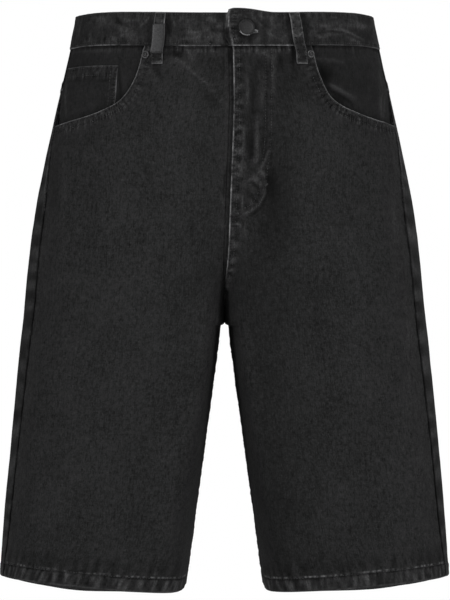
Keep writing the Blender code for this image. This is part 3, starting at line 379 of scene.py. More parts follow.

# small creases of the front on the waistband and the fly, with their painted light and shade, and painted
# shadows beside the belt loops: x and height of both ends, width, rise
SHADED_CREASES = tuple((0, *row) for row in (
    (-80.1, -4.3, -89.9, -13.8, 1.2, 1.1), (-118.9, -1.8, -109, -11, 2, -1),
    (-139, -1.5, -127.8, -4.4, 3.3, 0.8), (-112.3, -5.5, -90.4, -7.8, 2.2, 0.7),
    (-104.2, -12.2, -103.5, -13, 1.4, -1), (-144.6, -15.1, -145.7, -25.9, 1.3, 1),
    (-150.2, -21.2, -149.1, -24.5, 1.4, -0.9), (-119.5, -23.8, -119.2, -27.6, 1.9, 1),
    (-127.8, -21.7, -128.9, -28.1, 1.7, -0.8), (-156.4, -4.4, -158.1, -17.3, 1.3, 0.8),
    (-134.5, -14.8, -114.5, -17.1, 2.2, -0.4), (-79.1, 1.3, -80.7, -35, 1.9, -0.9),
    (-58.6, -3.8, -58.6, -23, 1.9, -1.3), (-56.1, -3.2, -52.7, -13.6, 1.3, 0.9),
    (-46.3, -3.1, -45.8, -9.5, 1.4, 0.8), (-26.6, -7.2, -27.1, -17.3, 2, -1),
    (-17.5, -6.8, -9, -11.1, 2.9, 1), (-2.7, -2.7, -2.7, -9, 1.6, -0.9),
    (-9.3, -15.9, -0.8, -13.3, 1.2, 0.9), (-15.4, -19.6, -1.6, -20.2, 1.6, -1.1),
    (-46.3, -21.7, -22.8, -21.1, 1.4, 0.8), (-25, -23.2, -31.4, -30, 1.4, 1.3),
    (-44.2, -28.2, -33.5, -28.4, 2, 0.9), (-19.7, -25.9, -12.7, -26, 1.2, 1),
    (-23.4, -26.9, -21.2, -32.3, 1.4, -1.1), (-12.2, -27.1, -12.2, -32.4, 1.4, -1),
    (-5.3, -25, -2.1, -31.3, 1.6, 1), (-57, -40.1, -48.4, -45.6, 2.6, -1.3),
    (-38.3, -41.6, -34.9, -50.2, 1.3, 1), (-34.6, -41.7, -19.7, -41.9, 1.2, 0.8),
    (-15.4, -42.4, -2.7, -41.4, 1.3, 0.7), (4.8, -40.9, 6.9, -53.6, 2.2, -1.8),
    (91.5, -6.6, 93.7, -8.7, 2.2, 0.9), (93.3, -13.5, 115.1, -12.8, 1.9, 0.9),
    (111.2, -15.8, 126.7, -15.8, 1.15, 1), (126.7, -15.8, 151.3, -24.4, 1.15, 1.1),
    (109, -18, 126.7, -18.5, 1.2, -1.1), (126.7, -18.5, 149.1, -27.2, 1.4, -1),
    (112.3, -2.8, 120, -2.8, 1.3, 0.7), (91, -15.2, 92.6, -16.8, 1.4, -1),
    (98.1, -20.7, 110.1, -19.6, 1.15, -1), (91.5, -18.4, 102.4, -17.8, 1.15, 0.7),
    (99.2, -24.9, 106.8, -24.7, 1.6, 0.9), (137.8, -8, 159.3, -9.6, 3.3, 0.8),
    (130, -5.4, 137.8, -8, 1.3, -0.7), (80.7, 1.4, 83.9, -7, 1.9, -0.9),
    (87.2, -17.6, 88.3, -33.6, 1.9, -0.9), (29.2, -5.1, 39.9, -15, 1.3, 0.9),
    (33.5, -7.7, 48.4, -17.9, 1.3, -1.1), (36.7, -2.3, 39.9, -6.5, 1.4, 0.8),
    (48.4, -4.1, 49.5, -13.7, 1.4, 0.9), (61.3, -20.7, 65.6, -24.9, 1.3, 0.9),
    (46.3, -22.3, 54.9, -27.3, 1.4, 0.9), (34.6, -23.6, 37.8, -33.1, 1.3, 0.8),
    (12.2, -23.9, 13.3, -32.4, 1.3, 1), (18.1, -40.3, 21.8, -41.8, 1.3, 0.9),
    (26, -41.8, 26.6, -49.2, 1.15, 0.7), (37.8, -42.7, 49.5, -47.7, 1.4, 1),
    (51.6, -45.5, 51.4, -66.8, 1.2, 0.9), (51.4, -66.8, 51.6, -86, 1.2, 0.7),
    (25, -70.5, 24.4, -98.1, 1.15, 1), (36.7, -63.9, 36.7, -91.6, 1.15, 0.7),
    (30.3, -72.6, 30.3, -106.6, 1.3, -0.7), (44.2, -61.7, 44.2, -112.7, 1.3, -0.6),
    (20.3, -123.7, 19.7, -153.4, 1.15, 1.2), (19.4, -153.4, 18.1, -174.7, 1.15, 0.9),
    (34.6, -132, 34, -157.6, 1.15, 1.3), (34, -157.6, 25, -158.7, 1.15, 1.1),
    (29.2, -134.2, 28.7, -153.3, 1.7, -1.1), (49, -111.6, 47.9, -143.6, 1.15, 0.6),
    (48.6, -127, 48.6, -129.2, 1.2, -1.2), (47.9, -131.8, 47.9, -134, 1.15, -1.1),
    (47, -147.3, 43.1, -157.5, 1.15, 1.3), (43.1, -157.5, 36.7, -170.3, 1.4, 1.7),
    (49, -152.1, 49.5, -162.7, 1.3, -1.3), (35.6, -166, 42, -174.5, 2.2, 1.8),
    (25, -179.9, 35.6, -178.8, 1.7, 0.9), (23.9, -182.1, 29.2, -181, 1.15, -1.6),
    (29.2, -181, 35.1, -186.2, 1.2, -1.7), (35.1, -186.2, 36.7, -194.7, 1.2, -1.5),
    (28.2, -189.5, 32.4, -196.9, 1.7, 0.4), (43.1, -174.5, 43.1, -191.5, 1.15, 1.1),
    (43.1, -191.5, 39.9, -199, 1.2, 1.1), (39.9, -199, 35.6, -205.9, 1.3, 1.5),
    (35.6, -205.9, 27.1, -212.3, 1.4, 1.8), (27.1, -212.3, 16.5, -217.2, 1.4, 1.7),
    (45.8, -170.2, 45.8, -192.5, 1.6, -1.8), (45.8, -192.5, 41, -203.2, 1.4, -1.3),
    (39.9, -207.5, 29.2, -216.1, 1.2, -1.3), (18.6, -195.9, 18.8, -211.8, 1.15, 1.6),
    (27.6, -199.1, 28.7, -204.4, 1.15, 1.1), (11.2, -201.8, 13.3, -202.8, 1.15, 1),
    (10.1, -207.6, 10.6, -215.1, 1.15, 1.1), (14.9, -163, 16.5, -169.4, 1.2, 1.3),
    (13.3, -171.5, 15.9, -175.7, 1.3, 1.3), (13.3, -180, 14.3, -194.9, 1.6, -1),
    (12.2, -224.6, 17.5, -227.8, 1.6, 1.3), (10.6, -229.4, 12.2, -231, 1.15, 0.9),
    (20.7, -219.3, 22.8, -242.6, 1.15, 0.9), (11.2, -233.1, 13.3, -236.3, 1.4, -1.1),
    (1.6, -168.3, -0.5, -196, 1.3, -0.9), (-1.6, -198.1, -1.1, -206.6, 1.15, 0.8),
    (114.5, -74.7, 143.4, -88.8, 1.15, 1.6), (112.3, -79.6, 137.8, -92.4, 1.8, -1.3),
    (175.3, -78.1, 176.4, -106.5, 1.15, 1), (168.4, -56.8, 173, -76.1, 1.3, 0.7),
    (98.1, -47, 127.8, -50.8, 2.2, 0.8), (103.5, -54.3, 107.9, -69.1, 2.2, -1.2),
    (-161.5, -35.5, -112.3, -38.8, 2.2, 0.6), (-159.3, -61.8, -158.1, -63, 1.6, 1),
    (-149.1, -62.5, -146.8, -62.6, 1.4, 0.9), (-137.8, -62.1, -134.5, -62.3, 1.3, 0.8),
    (-163.8, -68.6, -114.5, -70.9, 1.15, -1.2), (-112.9, -58.1, -113.4, -91.4, 1.2, -1.6),
    (-126.7, -82.1, -124.5, -85.5, 1.4, 0.7), (-171.3, -57.7, -174.7, -104.4, 1.15, 1),
    (-51.6, -48.7, -17.5, -78, 1.4, 0.8), (-17.5, -78, 5.8, -103.6, 2.2, 0.4),
    (-79.6, -61.7, -55.9, -102.9, 2.9, 0.3), (-74.2, -57.6, -67.7, -67.5, 2.2, -0.9),
))
# the cloth stands up by a share of these creases; their light and shade, and that of the narrow creases above,
# is painted fully into the tone
CREASE_LIFT_SHARE, SHARP_SHARE, SHARP_WIDTH = 0.32, 0.8, 4.8
RELIEF = FOLDS + CREASES + tuple((*row[:6], CREASE_LIFT_SHARE * row[6]) for row in SHADED_CREASES)
CREASE_SHADE = SHADED_CREASES + tuple((*row[:6], SHARP_SHARE * row[6]) for row in CREASES if row[5] < SHARP_WIDTH)
# folds die away towards the seams, in steps across, and at the front's inner edge only below a height
CALM_AT_SIDE, CALM_AT_EDGE, CALM_FROM, CALM_FULL = 0.12, 0.09, -200.0, 60.0


def fold_rise(side, across, height, table=RELIEF):
    """Sum of the folds: each is rise times exp(-(distance / width) squared), dying away past its ends."""
    point = bare(side, across, height)
    body_across = on_body(across, height)
    total = np.zeros(np.shape(height))
    for face, x_from, z_from, x_to, z_to, width, rise in table:
        run = np.array([x_to - x_from, z_to - z_from])
        dx, dz = point[..., 0] - x_from, height - z_from
        s = np.clip((dx * run[0] + dz * run[1]) / (run @ run), 0.0, 1.0)
        distance = np.hypot(dx - s * run[0], dz - s * run[1])
        bell = (0.55 + 0.45 * np.sin(np.pi * s)) * np.exp(-(distance / width) ** 2)
        total += np.where(body_across < 1.0, face == 0, face == 1) * rise * bell
    at_side = smooth(np.abs(1.0 - body_across) / CALM_AT_SIDE)
    at_edge = smooth(np.minimum(body_across, 2.0 - body_across) / CALM_AT_EDGE)
    front_edge = 1.0 - smooth((CALM_FROM - height) / CALM_FULL) * (1.0 - at_edge)
    return total * at_side * np.where(body_across > 1.0, at_edge, front_edge)


# %% Unevenness of the cloth
CELLS = 24
LATTICE = np.random.default_rng(7).uniform(-1.0, 1.0, (CELLS, CELLS, CELLS))


WAVES = 700


def hand_of_cloth(points, size):
    """Smooth random value in space: a lattice of random numbers, size apart, blended with soft steps."""
    place = points / size
    cell = np.floor(place).astype(int)
    part = place - cell
    part = part * part * (3.0 - 2.0 * part)
    total = np.zeros(points.shape[:-1])
    for corner in np.ndindex(2, 2, 2):
        i, j, k = np.moveaxis((cell + corner) % CELLS, -1, 0)
        share = np.abs(1 - corner[0] - part[..., 0]) * np.abs(1 - corner[1] - part[..., 1])
        total += LATTICE[i, j, k] * share * np.abs(1 - corner[2] - part[..., 2])
    return total


def unevenness(points):
    """Relief of washed denim in millimetres: three sizes of lattice added up."""
    large = 0.55 * hand_of_cloth(points, 52.0) + 0.26 * hand_of_cloth(points + 400.0, 23.0)
    return large + 0.09 * hand_of_cloth(points + 900.0, 8.5)


def crumple(points, size):
    """Short sharp ridges where smooth random values cross zero, over softer lumps of the same size."""
    ridge = 1.0 - np.minimum(3.2 * np.abs(hand_of_cloth(points * [1.0, 1.0, 0.8], size)), 1.0)
    return 0.7 * ridge ** 1.5 + 0.7 * hand_of_cloth(points + 333.0, 0.8 * size) - 0.25


def ripple(along, pitch, seed):
    """Uneven wave along a seam: values of alternate sign joined by soft steps; its pitch wanders by a third."""
    signs = np.where(np.arange(WAVES + 1) % 2, -1.0, 1.0)
    ups = np.random.default_rng(seed).uniform(0.1, 1.0, WAVES + 1) * signs
    wander = 0.55 * np.sin(along / pitch * 0.63 + seed) + 0.4 * np.sin(along / pitch * 0.29 + 2.0 * seed)
    step = np.mod(along / pitch + wander + 3.0, WAVES)
    i = step.astype(int)
    return ups[i] + (ups[i + 1] - ups[i]) * smooth(step - i)


probe = np.random.default_rng(3).uniform(-200.0, 200.0, (2000, 3))
print("unevenness reaches", round(float(np.abs(unevenness(probe)).max()), 2), "mm;", len(CREASES), "creases")

# %% [markdown]
# ## Seam lines
# Sewing pulls cloth together: the needle row sinks into a groove, and the cloth beside it stands up in short
# ridges, which the wash then rubs pale. So every row of sewing is kept as a line on the body, used three
# times: for the relief, for the rubbed colour, and for the thread itself.

# %% Lines of the pattern
HEM_LINE = ((0.0, -617.2), (0.07, -622.2), (0.13, -623.1), (0.2, -622.5), (0.35, -619.8), (0.46, -618.1),
            (0.64, -613.0), (0.83, -609.4), (1.0, -608.6), (1.35, -611.5), (1.7, -616.0), (1.93, -618.2),
            (2.0, -617.2))
FLY_EDGE = ((15.0, 9.0), (-40.0, 9.0), (-94.0, 10.0), (-153.0, 8.0), (-218.0, 5.3), (-243.0, 4.6),
            (-296.0, 1.7), (-318.0, 0.03), (-640.0, 0.03))
FLY_FACING_EDGE = ((15.0, 51.0), (-145.0, 49.0), (-175.0, 46.0), (-196.0, 40.0), (-208.0, 32.0),
                   (-215.0, 20.0), (-219.0, 8.0), (-640.0, 8.0))
FLY_UNDERLAP_END, FLY_DROP_END = (-205.0, -235.0), (-296.0, -318.0)
FLY_LAP = ((12.0, 0.1), (9.0, -0.05), (6.0, -0.2), (3.5, -0.45), (1.0, -0.8), (-1.0, -1.1), (-3.0, -3.0),
           (-5.0, -5.0))
FLY_CURVE = ((50.4, -38.0), (50.1, -94.0), (48.3, -147.0), (45.8, -166.0), (44.1, -183.0), (41.2, -196.0),
             (36.2, -205.5), (29.2, -212.0), (19.7, -216.2), (12.8, -218.7), (7.2, -220.0))
POCKET_MOUTH = {
    RIGHT: ((0.420, -36.1), (0.428, -47.0), (0.437, -58.0), (0.455, -71.0), (0.481, -82.0), (0.524, -93.0),
            (0.596, -101.0), (0.640, -104.5), (0.684, -107.0), (0.735, -109.2), (0.787, -111.0),
            (0.843, -112.6), (0.900, -114.0), (0.950, -115.1), (1.0, -116.0)),
    LEFT: ((0.458, -35.8), (0.466, -47.0), (0.478, -61.0), (0.498, -75.0), (0.532, -89.0), (0.594, -99.0),
           (0.664, -104.0), (0.707, -106.8), (0.751, -109.0), (0.811, -111.4), (0.872, -113.0),
           (0.936, -114.6), (1.0, -116.0)),
}
MOUTH_TOP = -36.5
COIN_ACROSS, COIN_TOP, COIN_TOP_ROWS = (0.550, 0.957), -58.0, (2.2, 10.4)
YOKE_HEIGHT = {"side": -76.0, "centre": -106.0, "sag": 4.0}
BACK_POCKET = named(("height", "near_side", "near_centre"),
                    ((-123.0, 1.284, 1.716), (-205.0, 1.290, 1.706), (-276.0, 1.304, 1.688)))
BACK_POCKET_TOP, BACK_POCKET_FOOT, BACK_POCKET_HEM = (-123.4, -127.4), (-276.0, -289.5), 12.5


def line(table, height):
    """Second column of a line table at a value of the first, which may fall."""
    keys, values = np.array(table, float).T
    order = np.argsort(keys)
    return np.interp(height, keys[order], values[order])


def waist_rise(across):
    """How far the waist edge stands above its front, towards the sides and the back."""
    nearest = mirrored(across)
    side = WAIST_RISE_SIDE * smooth((nearest - 0.1) / 0.75)
    return side + (WAIST_RISE_BACK - WAIST_RISE_SIDE) * smooth((nearest - 1.0) / 0.9)


def waist_seam(across):
    """Height of the seam under the waistband."""
    return -BAND_HEIGHT + waist_rise(across)


def yoke_seam(across):
    """Height of the yoke seam, falling to the centre back in a soft curve."""
    way = np.clip(across - 1.0, 0.0, 1.0)
    straight = YOKE_HEIGHT["side"] + (YOKE_HEIGHT["centre"] - YOKE_HEIGHT["side"]) * way
    return straight - YOKE_HEIGHT["sag"] * np.sin(np.pi * way)


# %% Smooth lines, and lines beside them
def traced(first, second, step=1.2):
    """Soft curve through table points: a cubic on the running length, read every step millimetres."""
    first, second = np.asarray(first, float), np.asarray(second, float)
    run = np.concatenate([[0.0], np.cumsum(np.hypot(np.diff(first), np.diff(second)))])
    at = np.linspace(0.0, run[-1], max(int(run[-1] / step), 8) + 1)
    return cubic(run, first, at), cubic(run, second, at)


def beside(first, second, by):
    """The same line moved to its right by a distance, seen along its run."""
    run_first, run_second = np.gradient(first), np.gradient(second)
    length = np.hypot(run_first, run_second)
    return first + by * run_second / length, second - by * run_first / length


def mouth_line(side, by=0.0):
    """Pocket mouth from the waist seam to the side seam, or a line beside it in the panel, by millimetres off."""
    across, height = np.array(POCKET_MOUTH[side], float).T
    distance, height = traced(across * front_length(height), height)
    distance, height = beside(distance, height, by)
    keep = (height < MOUTH_TOP) | (by == 0.0)
    distance, height = distance[keep], height[keep]
    return np.minimum(distance / front_length(height), 1.0), height


def front_line(distance, height, by=0.0):
    """Line on a front, given as distances from its centre or inseam."""
    distance, height = traced(distance, height)
    distance, height = beside(distance, height, by)
    return distance / front_length(height), height


def back_line(distance, height):
    """Line on a back, a distance from its centre or inseam."""
    distance, height = traced(np.full_like(height, distance), height)
    return 2.0 - distance / back_length(height), height


print("pocket mouth", round(len(mouth_line(LEFT)[0]) * 1.2), "mm long")

# %% Relief, rubbing and edges that come from lines
# how deep the needle row sinks, how high the puckers stand, how far they reach, their pitch, and the rubbing
ROW_KINDS = {
    "edge": (0.40, 0.42, 3.0, 3.1, 0.42),
    "second": (0.50, 0.50, 3.6, 3.4, 0.50),
    "ladder": (0.30, 1.20, 2.7, 5.9, 0.55),
    "curve": (0.40, 0.25, 2.2, 4.4, 0.20),
    "hem": (0.65, 0.35, 3.6, 4.4, 0.30),
    "side": (1.20, 0.35, 6.0, 9.0, 0.10),
    "strip": (1.20, 0.95, 6.5, 15.0, 0.30),
    "band": (0.45, 0.24, 4.5, 5.6, 0.22),
    "hidden": (0.45, 0.45, 4.2, 4.9, 0.36),
}


def nearest_on(points, row):
    """Distance from each point to a row, and how far along it: nearest row point, then its tangent."""
    run = np.concatenate([[0.0], np.cumsum(np.linalg.norm(np.diff(row, axis=0), axis=1))])
    tangent = np.gradient(row, axis=0)
    tangent /= np.linalg.norm(tangent, axis=1, keepdims=True)
    gap = (points ** 2).sum(1)[:, None] + (row ** 2).sum(1)[None, :] - 2.0 * points @ row.T
    i = np.argmin(gap, axis=1)
    offset = points - row[i]
    slip = np.clip((offset * tangent[i]).sum(1), -1.5, 1.5)
    return np.linalg.norm(offset - slip[:, None] * tangent[i], axis=1), run[i] + slip


def near_box(points, row, reach):
    """Which points lie within reach of the row's box."""
    return np.all((points > row.min(0) - reach) & (points < row.max(0) + reach), axis=1)


def sewn(side, spots, rows):
    """Relief on bare points from rows of (kind, across, height, seed), and its marks.

    The marks are the rubbing, the run along the nearest row, and how strongly fine ribs stand beside it.
    """
    flat = spots.reshape(-1, 3)
    relief, rub, run, rib = (np.zeros(len(flat)) for _ in range(4))
    for kind, across, height, seed in rows:
        groove, pucker, reach, pitch, rubbing = ROW_KINDS[kind]
        row = bare(side, across, height)
        near = np.flatnonzero(near_box(flat, row, 2.6 * reach))
        if not len(near):
            continue
        distance, along = nearest_on(flat[near], row)
        bell = np.exp(-(distance / reach) ** 2)
        wave = ripple(along, pitch, seed)
        relief[near] += pucker * wave * bell - groove * np.exp(-(distance / 0.8) ** 2)
        rub[near] += rubbing * bell * np.clip(wave, 0.0, 1.0) * (1.0 - 0.8 * np.exp(-(distance / 0.9) ** 2))
        ribbing = np.exp(-(distance / (1.1 * reach)) ** 2) * (1.0 if kind in ("edge", "second") else 0.45)
        closer = ribbing > rib[near]
        run[near[closer]], rib[near[closer]] = (along + 37.0 * seed)[closer] * MM, ribbing[closer]
    marks = {"rub": rub, "run": run, "rib": rib}
    return relief.reshape(spots.shape[:-1]), {mark: v.reshape(spots.shape[:-1]) for mark, v in marks.items()}


def worn_edges(side, spots, edges, dashes=()):
    """Distance to the nearest folded edge, up to 12 mm, and how worn that edge is.

    Along a fold the wear changes softly; along a row of stitches it comes and goes as dashes.
    """
    flat = spots.reshape(-1, 3)
    nearest, worn = np.full(len(flat), 12.0), np.zeros(len(flat))
    for rows, (level, swing, pitch) in ((edges, (0.66, 0.30, 7.0)), (dashes, (0.20, 1.0, 3.4))):
        for strength, across, height, seed in rows:
            row = bare(side, across, height)
            near = np.flatnonzero(near_box(flat, row, 12.0))
            if not len(near):
                continue
            distance, along = nearest_on(flat[near], row)
            closer = distance < nearest[near]
            patchy = level + swing * ripple(along, pitch, seed) + 0.42 * ripple(along, 27.0, seed + 1)
            worn[near[closer]] = strength * np.clip(patchy, 0.03, 1.2)[closer]
            nearest[near[closer]] = distance[closer]
    return nearest.reshape(spots.shape[:-1]), worn.reshape(spots.shape[:-1])


# soft zones of painted shade and shadow (beside the fly, the belt loops and the clip, round the button, in the
# crotch and on the inner legs) and of paler and darker wash: face, x, height, their half sizes, and the change
WASH_AND_SHADE_ZONES = (
    (0, -14.0, -150.0, 17.0, 110.0, -0.14), (0, 61.0, -150.0, 15.0, 85.0, -0.26),
    (0, 28.0, -120.0, 24.0, 90.0, -0.12), (0, 3.2, -56.0, 4.5, 14.0, -0.80),
    (0, 2.5, -184.0, 3.6, 20.0, -0.70), (0, 50.5, -184.0, 5.0, 19.0, -0.45),
    (0, -58.0, -24.0, 3.2, 17.0, -0.60), (0, 23.4, -17.2, 11.0, 11.0, -0.35),
    (0, -52.6, -43.6, 9.0, 5.0, -0.50), (0, 73.6, -46.0, 2.4, 16.0, -0.65),
    (0, -171.0, -188.0, 3.4, 42.0, 0.24), (0, -182.0, -180.0, 6.0, 44.0, -0.20),
    (0, 181.0, -222.0, 4.0, 44.0, 0.22), (0, 197.0, -350.0, 4.5, 44.0, 0.18),
    (0, 28.0, -120.0, 20.0, 80.0, -0.17), (0, -22.0, -18.0, 26.0, 26.0, -0.10),
    (0, 98.0, -18.0, 14.0, 26.0, -0.18), (0, 132.0, -62.0, 42.0, 34.0, -0.20),
    (0, 109.0, -66.0, 9.0, 12.0, -0.60), (0, 124.0, -92.0, 12.0, 6.0, -0.50),
    (0, 60.0, -50.0, 5.0, 9.0, -0.50), (0, 84.0, -18.0, 4.0, 16.0, -0.35),
    (1, -215.0, -284.0, 30.0, 12.0, 0.30), (1, -216.0, -305.0, 30.0, 6.0, -0.35),
    (1, -218.0, -320.0, 30.0, 7.0, 0.25), (1, -222.0, -412.0, 30.0, 9.0, 0.35),
    (1, -224.0, -431.0, 30.0, 7.0, -0.60), (1, -226.0, -448.0, 30.0, 8.0, 0.40),
    (1, 208.0, -212.0, 30.0, 14.0, -0.40), (1, 212.0, -240.0, 30.0, 9.0, 0.35),
    (1, 214.0, -262.0, 30.0, 8.0, -0.40), (1, 190.0, -176.0, 30.0, 14.0, 0.30),
    (0, 52.0, -215.0, 22.0, 42.0, -0.30), (0, 10.0, -296.0, 40.0, 50.0, -0.28),
    (0, 50.0, -400.0, 30.0, 130.0, -0.26), (0, 66.0, -545.0, 28.0, 95.0, -0.24),
    (0, 60.0, -70.0, 60.0, 26.0, -0.22), (0, -150.0, -70.0, 50.0, 40.0, -0.14),
    (0, -44.0, -350.0, 24.0, 100.0, -0.06), (0, 205.0, -370.0, 26.0, 260.0, 0.14),
    (1, 60.0, -300.0, 50.0, 30.0, -0.12), (1, -64.0, -304.0, 50.0, 30.0, -0.12),
    (1, 110.0, -460.0, 60.0, 140.0, 0.08), (1, -110.0, -460.0, 60.0, 140.0, 0.08),
)


def wash_and_shade_tone(side, across, height, fine):
    """Tone of the cloth: the zones, then the fine relief in mm painted paler on ridges and darker in hollows,
    partly wash and partly painted light and shade.
    """
    x = bare(side, across, height)[..., 0]
    tone = np.ones(np.shape(x))
    for face, at, level, half_wide, half_high, change in WASH_AND_SHADE_ZONES:
        zone = change * np.exp(-((x - at) / half_wide) ** 2 - ((height - level) / half_high) ** 2)
        tone += np.where(np.mod(across, 4.0) < 1.0, face == 0, face == 1) * zone
    # ridges painted paler and hollows darker: partly wash, partly painted light and shade
    return tone * np.exp(np.tanh((fine + fold_rise(side, across, height, CREASE_SHADE)) / 1.1))


def seam_shade(distance, depth=0.8, reach=1.5):
    """Dark of the hollow between two pieces, as a share of the tone."""
    return 1.0 - depth * np.exp(-(distance / reach) ** 2)


def round_off(distance, reach, depth):
    """How far a cut edge turns in: depth at the edge, nothing past reach."""
    return depth * (1.0 - smooth(distance / reach)) ** 1.5


def doubled_hem(above):
    """1 where the turned-up hem doubles the cloth, by the height above the hem's edge."""
    return 1.0 - smooth((above - HEM_HEIGHT) / HEM_FADE)


def leg_outside(cloth, spots, above):
    """Outer layer of a leg: its relief, the unevenness, the thicker hem and the hem's rounded edge."""
    uneven = unevenness(spots) * smooth(above / CALM_ABOVE_HEM)
    return cloth + uneven + HEM_PROUD * doubled_hem(above) - round_off(above, 1.6, 1.2)


def leg_inside(layer, above):
    """Inner layer of a leg: most of the relief comes through, and the hem is thicker."""
    return INSIDE_SHARE * layer - WALL - (HEM_WALL - WALL) * doubled_hem(above) + round_off(above, 1.6, 0.9)


def sided(word, side):
    """Name of the left or the right one of a pair."""
    return word + ("_left" if side == LEFT else "_right")


# %% [markdown]
# ## Washed black denim
# Denim is a twill: dark warp threads run down the leg over pale weft, in slanting lines about a millimetre
# apart. The threads are spun unevenly, so the cloth is full of short vertical streaks and pale flecks, and
# where a seam or fold was rubbed in the wash the pale weft shows. The pattern follows each piece's own cloth
# map, in metres along and down the cloth. Two shader groups give the weave and the rubbing to every cloth.

# %% Small helpers for shader nodes
def add_node(tree, kind, **values):
    """New node with settings, or input values where the name is an input."""
    node = tree.nodes.new(kind)
    for name, value in values.items():
        if hasattr(node, name):
            setattr(node, name, value)
        else:
            node.inputs[name.replace("_", " ").title()].default_value = value
    return node


def calc(tree, operation, first, second=None, third=None, clamp=False):
    """Math node on sockets or numbers; gives its output socket."""
    node = tree.nodes.new("ShaderNodeMath")
    node.operation, node.use_clamp = operation, clamp
    for socket, value in zip(node.inputs, (first, second, third)):
        if isinstance(value, (int, float)):
            socket.default_value = value
        elif value is not None:
            tree.links.new(value, socket)
    return node.outputs[0]


def grain(tree, vector, size, detail=2.0, rough=0.5, offset=0.0):
    """Noise on a cloth map stretched to a grain of size (across, down) in metres."""
    scaled = add_node(tree, "ShaderNodeMapping", scale=(1.0 / size[0], 1.0 / size[1], 1.0 / size[0]))
    scaled.inputs["Location"].default_value = (offset, offset, offset)
    tree.links.new(vector, scaled.inputs["Vector"])
    noise = add_node(tree, "ShaderNodeTexNoise", scale=1.0, detail=detail, roughness=rough)
    tree.links.new(scaled.outputs["Vector"], noise.inputs["Vector"])
    return noise.outputs["Fac"]


def spread(tree, value, low, high, to_low=0.0, to_high=1.0):
    """Map a range of values to another, clamped."""
    node = tree.nodes.new("ShaderNodeMapRange")
    for name, number in (("From Min", low), ("From Max", high), ("To Min", to_low), ("To Max", to_high)):
        node.inputs[name].default_value = number
    tree.links.new(value, node.inputs["Value"])
    return node.outputs["Result"]


def mixed(tree, factor, low, high):
    """Colour between two colours or sockets, by a factor from 0 to 1."""
    mix = add_node(tree, "ShaderNodeMix", data_type="RGBA")
    for socket, colour in ((mix.inputs[6], low), (mix.inputs[7], high)):
        if isinstance(colour, tuple):
            socket.default_value = (*colour, 1.0)
        else:
            tree.links.new(colour, socket)
    tree.links.new(factor, mix.inputs[0])
    return mix.outputs[2]


def grained(tree, shader, height, strength, deep):
    """Fine relief of a finish, deep metres, from a height socket."""
    bump = add_node(tree, "ShaderNodeBump", strength=strength, distance=deep)
    tree.links.new(height, bump.inputs["Height"])
    tree.links.new(bump.outputs["Normal"], shader.inputs["Normal"])


def shader_group(name, inputs, outputs):
    """Node group whose sockets are numbers, apart from the cloth map; gives it and its two end nodes."""
    group = bpy.data.node_groups.new(name, "ShaderNodeTree")
    for direction, sockets in (("INPUT", inputs), ("OUTPUT", outputs)):
        for socket in sockets:
            kind = "NodeSocketVector" if socket == "Cloth" else "NodeSocketFloat"
            group.interface.new_socket(socket, in_out=direction, socket_type=kind)
    return group, group.nodes.new("NodeGroupInput"), group.nodes.new("NodeGroupOutput")


# %% Shader group: heathered twill
# the slanting lines of the weave, in radians for a metre across and a metre down
SLANT_ACROSS, SLANT_DOWN = 5200.0, 2700.0
twill, t_in, t_out = shader_group("heathered_twill", ("Cloth", "Streak", "Fleck"), ("Tone", "Weave"))
cloth = t_in.outputs["Cloth"]
slub = grain(twill, cloth, (0.0013, 0.0034), 3.0, 0.6)
long_slub = grain(twill, cloth, (0.0018, 0.020), 2.0, 0.5, 3.1)
weft_slub = grain(twill, cloth, (0.0048, 0.0014), 2.0, 0.5, 7.3)
knots = grain(twill, cloth, (0.0015, 0.0018), 2.0, 0.6, 5.7)
mottle = grain(twill, cloth, (0.0042, 0.0060), 2.0, 0.5, 2.2)
wash = grain(twill, cloth, (0.034, 0.050), 3.0, 0.55, 9.3)
split_map = twill.nodes.new("ShaderNodeSeparateXYZ")
twill.links.new(cloth, split_map.inputs["Vector"])
slant = calc(twill, "MULTIPLY_ADD", split_map.outputs["X"], SLANT_ACROSS,
             calc(twill, "MULTIPLY", split_map.outputs["Y"], SLANT_DOWN))
line_wave = calc(twill, "SINE", calc(twill, "MULTIPLY_ADD", slub, 2.2, slant))
streaks = calc(twill, "SUBTRACT", slub, 0.5)
for part, share in ((long_slub, 0.45), (weft_slub, 0.40), (mottle, 0.65)):
    streaks = calc(twill, "MULTIPLY_ADD", calc(twill, "SUBTRACT", part, 0.5), share, streaks)
tone = calc(twill, "MULTIPLY_ADD", streaks, t_in.outputs["Streak"], 1.0)
tone = calc(twill, "MULTIPLY_ADD", spread(twill, knots, 0.55, 0.78), t_in.outputs["Fleck"], tone)
tone = calc(twill, "MULTIPLY_ADD", calc(twill, "SUBTRACT", wash, 0.5), 0.7, tone)
tone = calc(twill, "MULTIPLY_ADD", line_wave, 0.16, tone)
twill.links.new(calc(twill, "MAXIMUM", tone, 0.25), t_out.inputs["Tone"])
weave = calc(twill, "ADD", calc(twill, "MULTIPLY", line_wave, 0.25), calc(twill, "MULTIPLY", slub, 1.1))
twill.links.new(calc(twill, "MULTIPLY_ADD", knots, 0.6, weave), t_out.inputs["Weave"])

